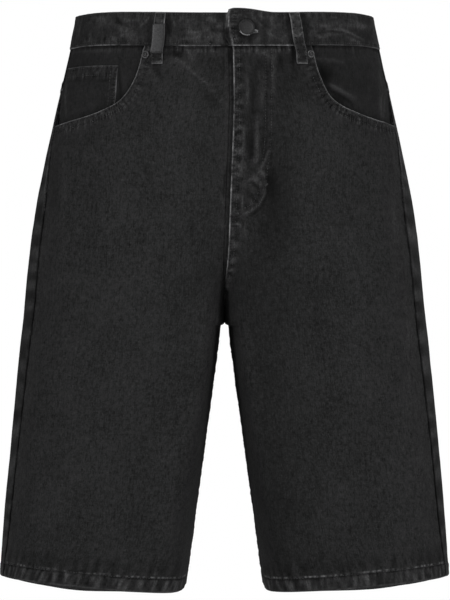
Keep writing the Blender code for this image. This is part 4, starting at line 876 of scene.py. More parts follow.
# %% Shader group: rubbed pale in the wash
rubbed, r_in, r_out = shader_group("rubbed_in_the_wash", ("Cloth", "Edge", "Worn", "Rub", "Width"), ("Mask",))
breaks = spread(rubbed, grain(rubbed, r_in.outputs["Cloth"], (0.0022, 0.0030), 3.0, 0.6, 1.7), 0.30, 0.68, 0.25)
specks = spread(rubbed, grain(rubbed, r_in.outputs["Cloth"], (0.0012, 0.0020), 2.0, 0.5, 8.1), 0.42, 0.72)
near = calc(rubbed, "DIVIDE", r_in.outputs["Edge"], r_in.outputs["Width"])
fade = calc(rubbed, "EXPONENT", calc(rubbed, "MULTIPLY", calc(rubbed, "MULTIPLY", near, near), -1.0))
edge_mask = calc(rubbed, "MULTIPLY", calc(rubbed, "MULTIPLY", fade, r_in.outputs["Worn"]), breaks)
rub_mask = calc(rubbed, "MULTIPLY", r_in.outputs["Rub"], calc(rubbed, "MULTIPLY_ADD", specks, 0.75, 0.25))
rubbed.links.new(calc(rubbed, "MULTIPLY_ADD", rub_mask, 0.42, edge_mask, clamp=True), r_out.inputs["Mask"])


# %% Shader group: fine ribs beside a seam
RIBS_A_METRE = 430.0
ribbed, b_in, b_out = shader_group("puckered_beside_a_seam", ("Run", "Rib"), ("Wave",))
rib_noise = add_node(ribbed, "ShaderNodeTexNoise", noise_dimensions="1D", scale=RIBS_A_METRE, detail=1.0)
ribbed.links.new(b_in.outputs["Run"], rib_noise.inputs["W"])
rib_wave = spread(ribbed, rib_noise.outputs["Fac"], 0.32, 0.68, -1.0)
ribbed.links.new(calc(ribbed, "MULTIPLY", rib_wave, b_in.outputs["Rib"]), b_out.inputs["Wave"])


# %% Denim material
def denim_cloth(name, dark, pale, inside, streak=2.0, fleck=0.9, width=0.95):
    """Denim: dark twill times its tone, mixed with pale weft by the rubbing, and a greyer wrong side."""
    material, tree, shader = new_material(name)
    mapped = add_node(tree, "ShaderNodeUVMap", uv_map="cloth")
    marks = {}
    for mark in ("edge", "worn", "rub", "inside", "tone", "run", "rib"):
        marks[mark] = add_node(tree, "ShaderNodeAttribute", attribute_name=mark).outputs["Fac"]
    surface = add_node(tree, "ShaderNodeGroup", node_tree=twill)
    surface.inputs["Streak"].default_value = streak
    surface.inputs["Fleck"].default_value = fleck
    rubbing = add_node(tree, "ShaderNodeGroup", node_tree=rubbed)
    rubbing.inputs["Width"].default_value = width
    ribs = add_node(tree, "ShaderNodeGroup", node_tree=ribbed)
    for group in (surface, rubbing):
        tree.links.new(mapped.outputs["UV"], group.inputs["Cloth"])
    for group, mark in ((rubbing, "edge"), (rubbing, "worn"), (rubbing, "rub"), (ribs, "run"), (ribs, "rib")):
        tree.links.new(marks[mark], group.inputs[mark.title()])
    # the tone mark carries wash and painted shade; the ribs beside seams are painted paler and darker over their
    # bump, partly wash on their crests and partly painted light and shade
    uneven = calc(tree, "MULTIPLY", marks["tone"], calc(tree, "MULTIPLY_ADD", ribs.outputs["Wave"], 0.60, 1.0))
    toned = add_node(tree, "ShaderNodeVectorMath", operation="SCALE")
    tree.links.new(mixed(tree, marks["inside"], dark, inside), toned.inputs[0])
    tree.links.new(calc(tree, "MULTIPLY", surface.outputs["Tone"], uneven), toned.inputs["Scale"])
    tree.links.new(mixed(tree, rubbing.outputs["Mask"], toned.outputs[0], pale), shader.inputs["Base Color"])
    relief = calc(tree, "MULTIPLY_ADD", ribs.outputs["Wave"], 0.8, surface.outputs["Weave"])
    grained(tree, shader, relief, 0.55, 0.00035)
    shader.inputs["Roughness"].default_value = 0.88
    shader.inputs["Specular IOR Level"].default_value = 0.09
    return material


denim = denim_cloth("washed_black_denim", (0.0150, 0.0150, 0.0152), (0.26, 0.26, 0.265), (0.050, 0.050, 0.052))
# darker denim for the facings and the coin pocket: painted shade of the recess behind the mouths
denim_shaded = denim_cloth("black_denim_painted_shade", (0.0138, 0.0138, 0.0140), (0.20, 0.20, 0.205),
                           (0.050, 0.050, 0.052), 1.5, 0.5)
print("materials:", denim.name, denim_shaded.name)


# %% Thread
def thread_material(name, colour, pale):
    """Cotton thread: one dark colour, paler in short lengths along the object where it was rubbed."""
    material, tree, shader = new_material(name)
    place = add_node(tree, "ShaderNodeTexCoord").outputs["Object"]
    patches = spread(tree, grain(tree, place, (0.006, 0.006), 2.0, 0.6), 0.46, 0.72)
    tree.links.new(mixed(tree, patches, colour, pale), shader.inputs["Base Color"])
    shader.inputs["Roughness"].default_value = 0.7
    shader.inputs["Specular IOR Level"].default_value = 0.3
    return material


thread = thread_material("black_cotton_thread", (0.010, 0.010, 0.0102), (0.055, 0.055, 0.056))
# pale thread for the buttonhole, a bright spot beside the button
pale_thread = thread_material("pale_buttonhole_thread", (0.05, 0.05, 0.0505), (0.34, 0.34, 0.344))

# %% [markdown]
# ## Making a piece of cloth
# A piece is a closed wall: an outer grid of points, the same grid a cloth's thickness further in, and a rim
# that joins them. The cloth map and the marks for rubbing are stored on it. Finer steps are spent at the
# edges and seams, and coarser ones in the open cloth.


def cloth_wall(name, side, outer, inner, cloth_map, marks, material):
    """Mesh of an outer and an inner grid (columns, rows, 3) in millimetres, closed by a rim."""
    cloth_map = np.broadcast_arrays(*cloth_map)
    columns, rows = outer.shape[:2]
    points = np.concatenate([outer.reshape(-1, 3), inner.reshape(-1, 3)]) * MM
    index = np.arange(columns * rows).reshape(columns, rows)
    quads = np.stack([index[:-1, :-1], index[1:, :-1], index[1:, 1:], index[:-1, 1:]], axis=-1).reshape(-1, 4)
    rim = np.concatenate([index[:, 0], index[-1, 1:], index[-2::-1, -1], index[0, -2::-1]])
    back = columns * rows
    edge = np.stack([rim[1:], rim[:-1], rim[:-1] + back, rim[1:] + back], axis=-1)
    faces = np.concatenate([quads, quads[:, ::-1] + back, edge])
    if side == RIGHT:
        faces = faces[:, ::-1]
    mesh = bpy.data.meshes.new(name)
    mesh.from_pydata(points, [], faces)
    mesh.polygons.foreach_set("use_smooth", np.ones(len(faces), bool))
    flat_map = np.tile(np.stack(cloth_map, axis=-1).reshape(-1, 2) * MM, (2, 1))
    layer = mesh.uv_layers.new(name="cloth")
    layer.data.foreach_set("uv", flat_map[faces.reshape(-1)].astype(np.float32).reshape(-1))
    values = {mark: np.concatenate([np.broadcast_to(v, (columns, rows)).reshape(-1)] * 2)
              for mark, v in marks.items()}
    # the wrong side has an even tone, no ribs, and little rubbing
    values["tone"][back:] = 1.0
    values["rib"][back:] = 0.0
    values["rub"][back:] *= 0.3
    values["inside"] = np.concatenate([np.zeros(back), np.ones(back)])
    for mark, value in values.items():
        mesh.attributes.new(mark, "FLOAT", "POINT").data.foreach_set("value", value.astype(np.float32))
    mesh.materials.append(material)
    return new_piece(name, mesh)


def stand(side, across, height, layers):
    """Points of the worn cloth in millimetres at several layers, with its folds."""
    across, height = np.broadcast_arrays(np.asarray(across, float), np.asarray(height, float))
    body, normal = bare(side, across, height), outward(side, across, height)
    lift = fold_rise(side, across, height)
    return [body + normal * (layer + lift)[..., None] for layer in layers]


def worn_wall(name, side, across, height, layers, cloth_map, marks, material=denim):
    """Closed wall between two layers of the worn cloth."""
    return cloth_wall(name, side, *stand(side, across, height, layers), cloth_map, marks, material)


def spaced(start, end, step, fine=(0.0, 0.5, 1.3, 2.6)):
    """Places from start to end: fine ones near both ends, even ones of about step between."""
    fine = np.array(fine)
    middle = np.linspace(start + fine[-1], end - fine[-1], max(int((end - start) / step), 3))
    return np.concatenate([start + fine[:-1], middle, end - fine[:-1][::-1]])


def dress(piece, node):
    """Ride on the body and stand for the rigid node, which is hidden."""
    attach(piece, "root")
    if node:
        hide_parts(node)
    return piece


# %% [markdown]
# ## Thread
# A lockstitch shows as short dashes that dive into the cloth at both ends. One small closed bead of a few
# dozen faces is repeated along every row as arrays, and each piece's sewing is one mesh. The same bead turned
# across its row and packed close makes bar tacks and the buttonhole.

# %% Stitches along a row
BEAD_ALONG = np.array([-0.5, -0.3, 0.0, 0.3, 0.5])
BEAD_ROUND = np.array([0.30, 0.92, 1.0, 0.92, 0.30])
BEAD_DIP = np.array([-1.1, 0.15, 0.45, 0.15, -1.1])
STITCH_LIFT, TACK_LIFT = 0.10, 0.25


def stitch_row(points, normals, pitch=3.1, length=2.5, thick=0.30, crossways=False):
    """Beads every pitch along a polyline: ring radii and dips follow the bead's tables. Millimetres."""
    run = np.concatenate([[0.0], np.cumsum(np.linalg.norm(np.diff(points, axis=0), axis=1))])
    count = max(int(run[-1] / pitch), 1)
    at = (np.arange(count) + 0.5) * run[-1] / count

    def read(values, place):
        return np.stack([np.interp(place, run, column) for column in values.T], axis=1)

    centre, up = read(points, at), read(normals, at)
    along = read(points, at + 0.5) - read(points, at - 0.5)
    along -= up * (along * up).sum(1, keepdims=True)
    along /= np.linalg.norm(along, axis=1, keepdims=True)
    if crossways:
        along = np.cross(up, along)
    across = np.cross(up, along)
    k = np.arange(5)
    angle = k * 2.0 * np.pi / 5.0
    ring = (across[:, None, None] * np.cos(angle)[None, None, :, None]
            + up[:, None, None] * np.sin(angle)[None, None, :, None])
    ring = ring * (thick * BEAD_ROUND)[None, :, None, None]
    spine = (along[:, None, :] * (length * BEAD_ALONG)[None, :, None]
             + up[:, None, :] * (thick * BEAD_DIP)[None, :, None])
    verts = (centre[:, None, None] + spine[:, :, None] + ring).reshape(-1, 3)
    turn = (k + 1) % 5
    sides = np.concatenate([np.stack([5 * j + k, 5 * j + turn, 5 * j + 5 + turn, 5 * j + 5 + k], axis=1)
                            for j in range(4)])
    caps = np.array([[4, 3, 2, 1], [4, 1, 0, 0], [20, 21, 22, 23], [20, 23, 24, 24]])
    quads = (sides[None] + 25 * np.arange(count)[:, None, None]).reshape(-1, 4)
    ends = (caps[None] + 25 * np.arange(count)[:, None, None]).reshape(-1, 4)
    return verts, quads, ends


def sew(side, across, height, layer, **bead):
    """Stitches along a line that stands layer millimetres off the body."""
    points = stand(side, across, height, (layer,))[0]
    return stitch_row(points, outward(side, across, height), **bead)


def stitching(name, rows, material):
    """One mesh of many rows, each (verts, quads, ends)."""
    points, faces, start = [], [], 0
    for verts, quads, ends in rows:
        points.append(verts)
        faces += (quads + start).tolist()
        faces += [f[:3] if f[2] == f[3] else f for f in (ends + start).tolist()]
        start += len(verts)
    mesh = bpy.data.meshes.new(name)
    mesh.from_pydata(np.concatenate(points) * MM, [], faces)
    mesh.polygons.foreach_set("use_smooth", np.ones(len(faces), bool))
    mesh.materials.append(material)
    return dress(new_piece(name, mesh), None)


# %% [markdown]
# ## Front legs
# Each front is one cut piece from the waist seam to the hem, with the pocket mouth cut out of its top outer
# corner. The wearer's left front carries the doubled fly with its two curved rows, and laps over the right
# one. The hem is turned up twice and sewn 15 mm above its edge, and the twisted hem stands in slanting ropes.

# %% Rows and worn edges of the fronts
def hem_row(first, last, above):
    """Line a set distance above the hem's edge."""
    across = np.linspace(first, last, 260)
    return across, line(HEM_LINE, across) + above


# every row and worn edge ends with its own seed for the ripple
# the second row of a double row lies 8.4 mm in; the first is a little nearer at a folded edge than at a fell
FIRST_AT_EDGE, FIRST_AT_FELL, SECOND = 2.0, 2.2, 8.4
fly_heights = np.array([-38.0, -70.0, -110.0, -150.0, -190.0, -216.0])
low_heights = np.array([-222.0, -240.0, -262.0, -285.0, -305.0, -322.0])
FRONT_ROWS = {side: [("edge", *mouth_line(side, FIRST_AT_EDGE), 11 + side),
                     ("second", *mouth_line(side, SECOND), 21 + side),
                     ("hem", *hem_row(0.0, 1.0, HEM_HEIGHT), 31 + side)] for side in (LEFT, RIGHT)}
for kind, heights, by, seed in (("edge", fly_heights, 1.9, 41), ("ladder", fly_heights, 6.6, 42),
                                ("edge", low_heights, 1.9, 43), ("ladder", low_heights, 6.4, 44)):
    FRONT_ROWS[LEFT].append((kind, *front_line(line(FLY_EDGE, heights) + by, heights), seed))
for by, seed in ((0.0, 45), (6.4, 46)):
    FRONT_ROWS[LEFT].append(("curve", *front_line(*np.array(FLY_CURVE).T, by), seed))
seam_heights = np.linspace(-78.0, -610.0, 420)
SEAM_ROWS = {side: [("side", np.ones(420), seam_heights, 51 + side)] for side in (LEFT, RIGHT)}
for side in (LEFT, RIGHT):
    places = np.linspace(0.05, POCKET_MOUTH[side][0][0], 80)
    SEAM_ROWS[side].append(("second", places, waist_seam(places) - 2.5, 61 + side))

edge_heights = np.array([-36.0, -70.0, -110.0, -150.0, -190.0, -230.0, -270.0, -296.0, -318.0])
FRONT_EDGES = {side: [(0.95, *mouth_line(side), 71 + side), (0.24, *hem_row(0.0, 1.0, 0.6), 81 + side)]
               for side in (LEFT, RIGHT)}
HEM_DASHES = {side: [(0.62, *hem_row(0.0, 1.0, 16.2), 85 + side)] for side in (LEFT, RIGHT)}
FRONT_EDGES[LEFT].append((1.05, *front_line(line(FLY_EDGE, edge_heights) + 0.2, edge_heights), 95))
print("rows on the left front:", len(FRONT_ROWS[LEFT]) + len(SEAM_ROWS[LEFT]))


# %% Face of a front leg
def hem_rope(side, across, height, along):
    """Slanting ropes of the turned-up hem: an uneven wave along the hem, leaning with the height."""
    above = height - line(HEM_LINE, across)
    broad = ripple(along + 0.34 * above * side, 9.0, 101 + side)
    narrow = ripple(along - 0.25 * above * side, 4.1, 105 + side)
    calm = 0.62 + 0.38 * ripple(along, 31.0, 107 + side)
    wave = calm * (0.62 * broad + 0.55 * narrow)
    window = smooth(above / 3.0) * (1.0 - smooth((above - 11.0) / 5.0))
    drag = 0.35 * np.exp(-((above - 22.0) / 9.0) ** 2)
    return 1.15 * wave * window + drag * ripple(along + 2.0, 7.5, 111 + side), np.clip(wave, 0, 1) * window


def front_face(side, across, height, marks=False):
    """Outer layer of a front leg, and if asked for, its marks: the rows, the ropes, the fly and the edges."""
    spots = bare(side, across, height)
    distance = across * front_length(height)
    relief, sewing = sewn(side, spots, FRONT_ROWS[side] + SEAM_ROWS[side])
    rope, rope_rub = hem_rope(side, across, height, distance)
    fine = relief + rope + 0.45 * smooth((height + 74.0) / 30.0) * crumple(spots + 50.0, 15.0)
    above = height - line(HEM_LINE, np.clip(across, 0.0, 1.0))
    if side == LEFT:
        on_fly = smooth((line(FLY_FACING_EDGE, height) - distance) / 8.0) * smooth((height + 228.0) / 10.0)
        fine = fine + 0.30 * on_fly * crumple(spots, 13.0)
    layer = leg_outside(fine, spots, above)
    gape = np.exp(-((across - 0.60) / 0.10) ** 2) * np.exp(-((height + 97.0) / 11.0) ** 2)
    if side == LEFT:
        # the doubled fly, the felled strip below it, and the mouth that gapes a little
        raised = smooth((line(FLY_FACING_EDGE, height) - distance) / 3.0)
        layer = layer + raised * smooth((height + 226.0) / 9.0)
        low_strip = smooth((10.6 - distance + line(FLY_EDGE, height)) / 1.6)
        layer = layer + 0.7 * low_strip * smooth((-218.0 - height) / 8.0) * smooth((height + 330.0) / 20.0)
        layer = layer + 1.3 * gape
    else:
        # the right front sinks beside the fly that lies on it
        sunk = np.exp(-((distance + line(FLY_EDGE, height)) / 5.0) ** 2)
        layer = layer - 0.35 * sunk * smooth((height + 310.0) / 50.0)
    if not marks:
        return layer
    # wear: the edges and ropes, and ribs under the flat part of the mouth; then painted shade under the mouth,
    # just above the hem, along the hem's row, along the side seam and under the band
    nearest, worn = worn_edges(side, spots, FRONT_EDGES[side], HEM_DASHES[side])
    sewing["rub"] = sewing["rub"] + 0.62 * rope_rub
    from_mouth = worn_edges(side, spots, [(1.0, *mouth_line(side), 0)])[0]
    flat_part = smooth((np.abs(spots[..., 0]) - 100.0) / 18.0)
    sewing["rib"] = sewing["rib"] * np.where(from_mouth < 12.0, 0.3 + 1.1 * flat_part, 1.0)
    # painted shade: a dark band under the pocket mouth's edge, a darker strip above the hem, and a broken dark
    # line along the hem's row
    mouth_shade = (0.32 if side == LEFT else 0.14) * np.exp(-((from_mouth - 7.0) / 3.6) ** 2)
    hem_shade = 1.0 - 0.18 * smooth((above - 13.0) / 3.0) * smooth((38.0 - above) / 12.0)
    hem_row_shade = 0.55 + 0.40 * ripple(distance, 11.0, 121 + side)
    tone = wash_and_shade_tone(side, across, height, fine + 0.45 * rope) * (1.0 - mouth_shade) * hem_shade
    tone = tone * seam_shade((1.0 - across) * front_length(height), 0.95, 3.2)
    tone = tone * seam_shade(above - 14.2, hem_row_shade, 1.3) * seam_shade(waist_seam(across) - height)
    return layer, {**sewing, "edge": nearest, "worn": worn, "tone": tone}


# %% Mesh of a front leg
# rows of the mesh: heights above the hem's edge, then levels of the leg, closer together at the crotch
ABOVE_HEM = np.array([0.0, 0.4, 1.0, 2.0, 3.5, 5.0, 7.0, 9.0, 11.0, 12.8, 14.0, 14.6, 15.1, 15.7, 16.8, 19.0])
LEG_STEPS = np.concatenate([np.arange(-586.0, -350.0, 3.2), np.arange(-350.0, -318.0, 1.6),
                            np.arange(-318.0, -228.0, 2.9), np.arange(-228.0, -131.0, 1.7)])


def leg_heights(hem, top):
    """Row heights of each column, from its hem edge up to its top edge."""
    low = hem[:, None] + ABOVE_HEM[None, :]
    bridge = low[:, -1:] + (LEG_STEPS[0] - low[:, -1:]) * np.array([[0.4, 0.75]])
    level = np.broadcast_to(LEG_STEPS, (len(hem), len(LEG_STEPS)))
    shares = spaced(0.0, 1.0, 1.0 / 56.0, (0.0, 0.012))[1:]
    upper = LEG_STEPS[-1] + (top[:, None] - LEG_STEPS[-1]) * shares[None, :]
    return np.concatenate([low, bridge, level, upper], axis=1)


def fly_places(side, height):
    """Places across of a front's inner edge: the fly edge, or the underlap past it and its bend."""
    fly, length = line(FLY_EDGE, height), front_length(height)
    if side == LEFT:
        return np.stack([fly / length])
    under = smooth((height - FLY_UNDERLAP_END[1]) / (FLY_UNDERLAP_END[0] - FLY_UNDERLAP_END[1]))
    return -np.stack([fly + sewn_in + (lap - sewn_in) * under for lap, sewn_in in FLY_LAP]) / length


def front_grid(side):
    """Across and height of a front's columns: fanned out below the pocket mouth, exact along its edge."""
    mouth_across, mouth_height = mouth_line(side)
    pick = np.unique(np.linspace(0, len(mouth_across) - 1, 76).astype(int))
    mouth_across, mouth_height = mouth_across[pick], mouth_height[pick]
    lap = fly_places(side, np.array([-76.0]))[:, 0]
    length = float(front_length(-76.0))
    inner = spaced(lap[-1] * length, mouth_across[0] * length, 1.6)[1:-1] / length
    across = np.concatenate([inner, mouth_across])
    edge = across[-1] - np.array([0.5, 1.3]) / length
    across = np.sort(np.concatenate([across[:-1], edge, across[-1:]]))
    top = np.where(across < mouth_across[0], waist_seam(across) + SEAM_LAP,
                   np.interp(across, mouth_across, mouth_height))
    top = np.minimum(top, waist_seam(across) + SEAM_LAP)
    all_across = np.concatenate([lap, across])
    all_top = np.concatenate([waist_seam(lap) + SEAM_LAP, top])
    hem = line(HEM_LINE, np.clip(all_across, 0.0, 1.0))
    height = leg_heights(hem, all_top)
    # below the mouth the columns spread evenly from the inner edge to the side seam
    columns = fly_places(side, height)
    n = len(lap)
    inner_edge, outer_edge = columns[-1][n:], (1.0 - 0.5 * SEAM / front_length(height))[n:]
    share = (across[:, None] - inner_edge[:, -1:]) / (1.0 - inner_edge[:, -1:])
    even = np.linspace(share[0, 0], 1.0, len(across))[:, None]
    fan = smooth((-135.0 - height[n:]) / 230.0)
    share = share + (even - share) * fan
    spread_out = inner_edge + share * (outer_edge - inner_edge)
    return np.concatenate([np.stack([columns[i][i] for i in range(n)]), spread_out]), height


def front_leg(side):
    """Front leg as a closed wall with its map and marks."""
    across, height = front_grid(side)
    layer, marks = front_face(side, across, height, marks=True)
    distance = across * front_length(height)
    inner = leg_inside(layer, height - line(HEM_LINE, np.clip(across, 0.0, 1.0)))
    edge_in = round_off((1.0 - across) * front_length(height), EDGE_ROUND, 0.7)
    if side == RIGHT:
        fly = line(FLY_EDGE, height)
        until = smooth((height - FLY_DROP_END[1]) / (FLY_DROP_END[0] - FLY_DROP_END[1]))
        drop = FLY_DROP * smooth((-distance - fly + 5.0) / 4.0) * until
        layer, inner = layer - drop, inner - drop
    else:
        edge_in = edge_in + round_off(distance - line(FLY_EDGE, height), EDGE_ROUND, 0.6)
    edge_in = edge_in + round_off(height[:, -1:] - height, 1.4, 0.6)
    name = sided("front", side)
    cloth_map = ((across - 1.0) * front_length(height) * side, height)
    return worn_wall(name + "_leg", side, across, height, (layer - edge_in, inner), cloth_map, marks), name


def sew_rows(side, rows, face):
    """Stitch rows laid on a piece's face; face gives the layer at any place across and height."""
    return [sew(side, row[1], row[2], face(side, row[1], row[2]) + STITCH_LIFT) for row in rows]


def tack(side, across, height, face):
    """Bar tack: close stitches turned across a short line of two places."""
    across, height = np.linspace(*across, 24), np.linspace(*height, 24)
    layer = face(side, across, height) + TACK_LIFT
    return sew(side, across, height, layer, pitch=0.55, length=2.2, thick=0.27, crossways=True)


for side in (LEFT, RIGHT):
    leg, node = front_leg(side)
    rows = sew_rows(side, FRONT_ROWS[side], front_face)
    if side == LEFT:
        rows.append(tack(side, (0.030, 0.068), (-214.5, -214.5), front_face))
        rows.append(tack(side, (0.178, 0.206), (-186.0, -183.0), front_face))
    topstitch = stitching(node + "_topstitch", rows, thread)
    dress(leg, node)
    print(leg.name, len(leg.data.polygons), "faces;", topstitch.name, len(topstitch.data.polygons), "faces")

# %% [markdown]
# ## Back legs and yokes
# The photograph doesn't show the back, so it gets the standard cut: a leg panel with a little more seat than
# the front, and a shaped yoke above it. Both the yoke seam and the centre seam are felled, which leaves a
# raised strip with two rows on one side. The side seam is only pressed open, so the cloth beside it ropes.

# %% Rows and worn edges of the backs
inseam_heights = np.linspace(-350.0, -610.0, 12)
seat_heights = np.linspace(-108.0, -316.0, 12)
side_top = np.linspace(-80.0, -206.0, 100)
BACK_ROWS = {side: [("hem", *hem_row(1.0, 2.0, HEM_HEIGHT), 131 + side),
                    ("hidden", *back_line(FIRST_AT_FELL, inseam_heights), 133 + side),
                    ("hidden", *back_line(SECOND, inseam_heights), 135 + side),
                    ("edge", 1.0 + 2.6 / back_length(side_top), side_top, 137 + side)]
             for side in (LEFT, RIGHT)}
BACK_ROWS[LEFT] += [("hidden", *back_line(FIRST_AT_FELL, seat_heights), 141),
                    ("hidden", *back_line(SECOND, seat_heights), 142)]
BACK_EDGES = {side: [(0.30, *hem_row(1.0, 2.0, 0.6), 145 + side),
                     (0.34, 1.0 + 5.4 / back_length(seam_heights), seam_heights, 91 + side),
                     (0.45, *back_line(0.3, inseam_heights), 147 + side)]
              for side in (LEFT, RIGHT)}
BACK_EDGES[LEFT].append((0.5, *back_line(0.3, seat_heights), 149))
yoke_across = np.linspace(1.0, 2.0, 240)
YOKE_ROWS = [("second", yoke_across, yoke_seam(yoke_across) + 2.3, 151),
             ("hidden", yoke_across, yoke_seam(yoke_across) + SECOND, 153)]
FELL_WIDTH, FELL_FADE = 10.4, 1.5


def back_face(side, across, height, marks=False):
    """Outer layer of a back leg, with felled strips at the inseam and, on the left, at the centre."""
    spots = bare(side, across, height)
    distance = (across - 1.0) * back_length(height)
    from_centre = (2.0 - across) * back_length(height)
    relief, sewing = sewn(side, spots, BACK_ROWS[side] + [("strip", *SEAM_ROWS[side][0][1:])])
    rope, rope_rub = hem_rope(side, across, height, distance + 300.0)
    above = height - line(HEM_LINE, np.clip(across, 1.0, 2.0))
    layer = leg_outside(relief + rope, spots, above)
    strip = smooth((FELL_WIDTH - from_centre) / FELL_FADE)
    felled = smooth((-336.0 - height) / 12.0) * smooth(above - 16.0)
    if side == LEFT:
        felled = felled + smooth((height + 324.0) / 12.0)
    layer = layer + 0.7 * strip * felled
    if not marks:
        return layer
    nearest, worn = worn_edges(side, spots, BACK_EDGES[side])
    sewing["rub"] = sewing["rub"] + 0.40 * rope_rub
    # pale and dark blocks of tone along the side seam, fading over 48 mm
    blocks = 0.55 * np.tanh(2.2 * ripple(height + 700.0, 13.0, 125 + side)) * smooth(distance / 3.0)
    blocks = blocks * smooth((48.0 - distance) / 34.0)
    tone = wash_and_shade_tone(side, across, height, relief + 1.5 * rope)
    tone = tone * seam_shade(distance, 0.95, 3.4) * np.exp(blocks)
    return layer, {**sewing, "edge": nearest, "worn": worn, "tone": tone}


def back_leg(side):
    """Back leg as a closed wall."""
    share = spaced(0.0, 300.0, 3.1) / 300.0
    flat_across = 1.0 + share
    height = leg_heights(line(HEM_LINE, flat_across), yoke_seam(flat_across) + SEAM_LAP)
    start = 1.0 - SEAM_LAP / back_length(height)
    laps_over = (side == LEFT) | (height < CROTCH_HEIGHT - 2.0)
    end = 2.0 + np.where(laps_over, SEAM_LAP, -0.5 * SEAM) / back_length(height)
    across = start + share[:, None] * (end - start)
    layer, marks = back_face(side, across, height, marks=True)
    inner = leg_inside(layer, height - line(HEM_LINE, across))
    distance, from_centre = (across - 1.0) * back_length(height), (2.0 - across) * back_length(height)
    edge_in = round_off(distance, EDGE_ROUND, 0.7) + round_off(from_centre, EDGE_ROUND, 0.5)
    edge_in = edge_in + round_off(height[:, -1:] - height, EDGE_ROUND, 0.6)
    name = sided("back", side)
    cloth_map = (distance * side, height)
    return worn_wall(name + "_leg", side, across, height, (layer - edge_in, inner), cloth_map, marks), name


def yoke_face(side, across, height, marks=False):
    """Outer layer of a yoke: its lower strip lies doubled over the leg panel's top edge."""
    spots = bare(side, across, height)
    seat = [("hidden", *back_line(by, np.linspace(-106.0, -28.0, 20)), 155) for by in (FIRST_AT_FELL, SECOND)]
    relief, sewing = sewn(side, spots, YOKE_ROWS + (seat if side == LEFT else []))
    above = height - yoke_seam(across)
    layer = relief + unevenness(spots) + 0.75 * smooth((10.6 - above) / 1.5)
    if side == LEFT:
        layer = layer + 0.6 * smooth((FELL_WIDTH - (2.0 - across) * back_length(height)) / FELL_FADE)
    if not marks:
        return layer
    nearest, worn = worn_edges(side, spots, [(0.7, yoke_across, yoke_seam(yoke_across) + 0.2, 157)])
    tone = wash_and_shade_tone(side, across, height, relief) * seam_shade((across - 1.0) * back_length(height))
    return layer, {**sewing, "edge": nearest, "worn": worn, "tone": tone}


def yoke(side):
    """Back yoke as a closed wall between the waist seam and the yoke seam."""
    share = spaced(0.0, 230.0, 3.0)[:, None] / 230.0
    rise = spaced(0.0, 1.0, 0.045, (0.0, 0.012, 0.03))[None, :]
    low = yoke_seam(1.0 + share)
    height = low + rise * (waist_seam(1.0 + share) + SEAM_LAP - low)
    # the left yoke laps over the centre line
    start = -SEAM_LAP / back_length(height)
    end = (SEAM_LAP if side == LEFT else -0.5 * SEAM) / back_length(height)
    across = 1.0 + start + share * (1.0 - start + end)
    layer, marks = yoke_face(side, across, height, marks=True)
    distance = (across - 1.0) * back_length(height)
    edge_in = round_off(height - low, EDGE_ROUND, 0.5) + round_off(distance, EDGE_ROUND, 0.6)
    name, layers = sided("yoke", side), (layer - edge_in, INSIDE_SHARE * layer - WALL)
    cloth_map = (distance * side, height + 40.0)
    return worn_wall(name + "_cloth", side, across, height, layers, cloth_map, marks), name


for side in (LEFT, RIGHT):
    leg, node = back_leg(side)
    topstitch = stitching(node + "_topstitch", sew_rows(side, BACK_ROWS[side], back_face), thread)
    dress(leg, node)
    upper, node = yoke(side)
    rows = sew_rows(side, YOKE_ROWS, yoke_face)
    if side == LEFT:
        rows += sew_rows(side, [("hidden", *back_line(by, np.linspace(-104.0, -30.0, 20)))
                                for by in (FIRST_AT_FELL, SECOND)], yoke_face)
    topstitch = stitching(node + "_topstitch", rows, thread)
    dress(upper, node)
    print(leg.name, len(leg.data.polygons), upper.name, len(upper.data.polygons), "faces")

# %% [markdown]
# ## Front pockets
# Behind each pocket mouth lies a hip piece of the same denim, sunk about three millimetres under the front,
# and the small coin pocket is sewn on the wearer's right one. Its doubled top edge has two rows. The facings
# and the coin pocket get a darker denim, which paints the shade of the recess behind the mouths.

# %% Pocket facings and coin pocket
# cloth of a facing from the centre front to the side seam, if it went that far
HIP_LENGTH = 212.0
side_heights = np.linspace(-38.0, -116.0, 60)


def facing_low(side, across):
    """Height of a facing's lower edge, well below the mouth and hidden by the front."""
    return line(POCKET_MOUTH[side], np.minimum(across + 10.0 / 210.0, 1.0)) - FACING_UNDER


def facing_face(side, across, height, marks=False):
    """Outer layer of a facing: sunk behind the mouth, level with the cloth towards the waist."""
    above = height - line(POCKET_MOUTH[side], across)
    layer = -FACING_DROP * (1.0 - smooth((above - 3.0) / 34.0))
    first = POCKET_MOUTH[side][0][0]
    layer = np.minimum(layer, -FACING_DROP * smooth((first + 0.03 - across) / 0.05))
    spots = bare(side, across, height)
    layer = layer + 0.8 * unevenness(spots) - 0.4
    if not marks:
        return layer
    rows = [("band", np.linspace(0.43, 1.0, 90), waist_seam(np.linspace(0.43, 1.0, 90)) - 2.0, 163 + side),
            ("side", np.ones(60), side_heights, 51 + side)]
    relief, sewing = sewn(side, spots, rows)
    nearest, worn = worn_edges(side, spots, [(0.3, np.ones(60), side_heights, 165)])
    # painted shade: crumpled ridges and hollows with no relief under them, the facing darker overall, by the
    # front's edge at the mouth and under the band
    tone = wash_and_shade_tone(side, across, height, relief + 0.25 * crumple(spots, 11.0))
    tone = 0.92 * (tone * seam_shade(above, 0.45, 7.0)) * seam_shade(waist_seam(across) - height, 0.6, 2.4)
    return layer + 0.8 * relief, {**sewing, "edge": nearest, "worn": worn, "tone": tone}


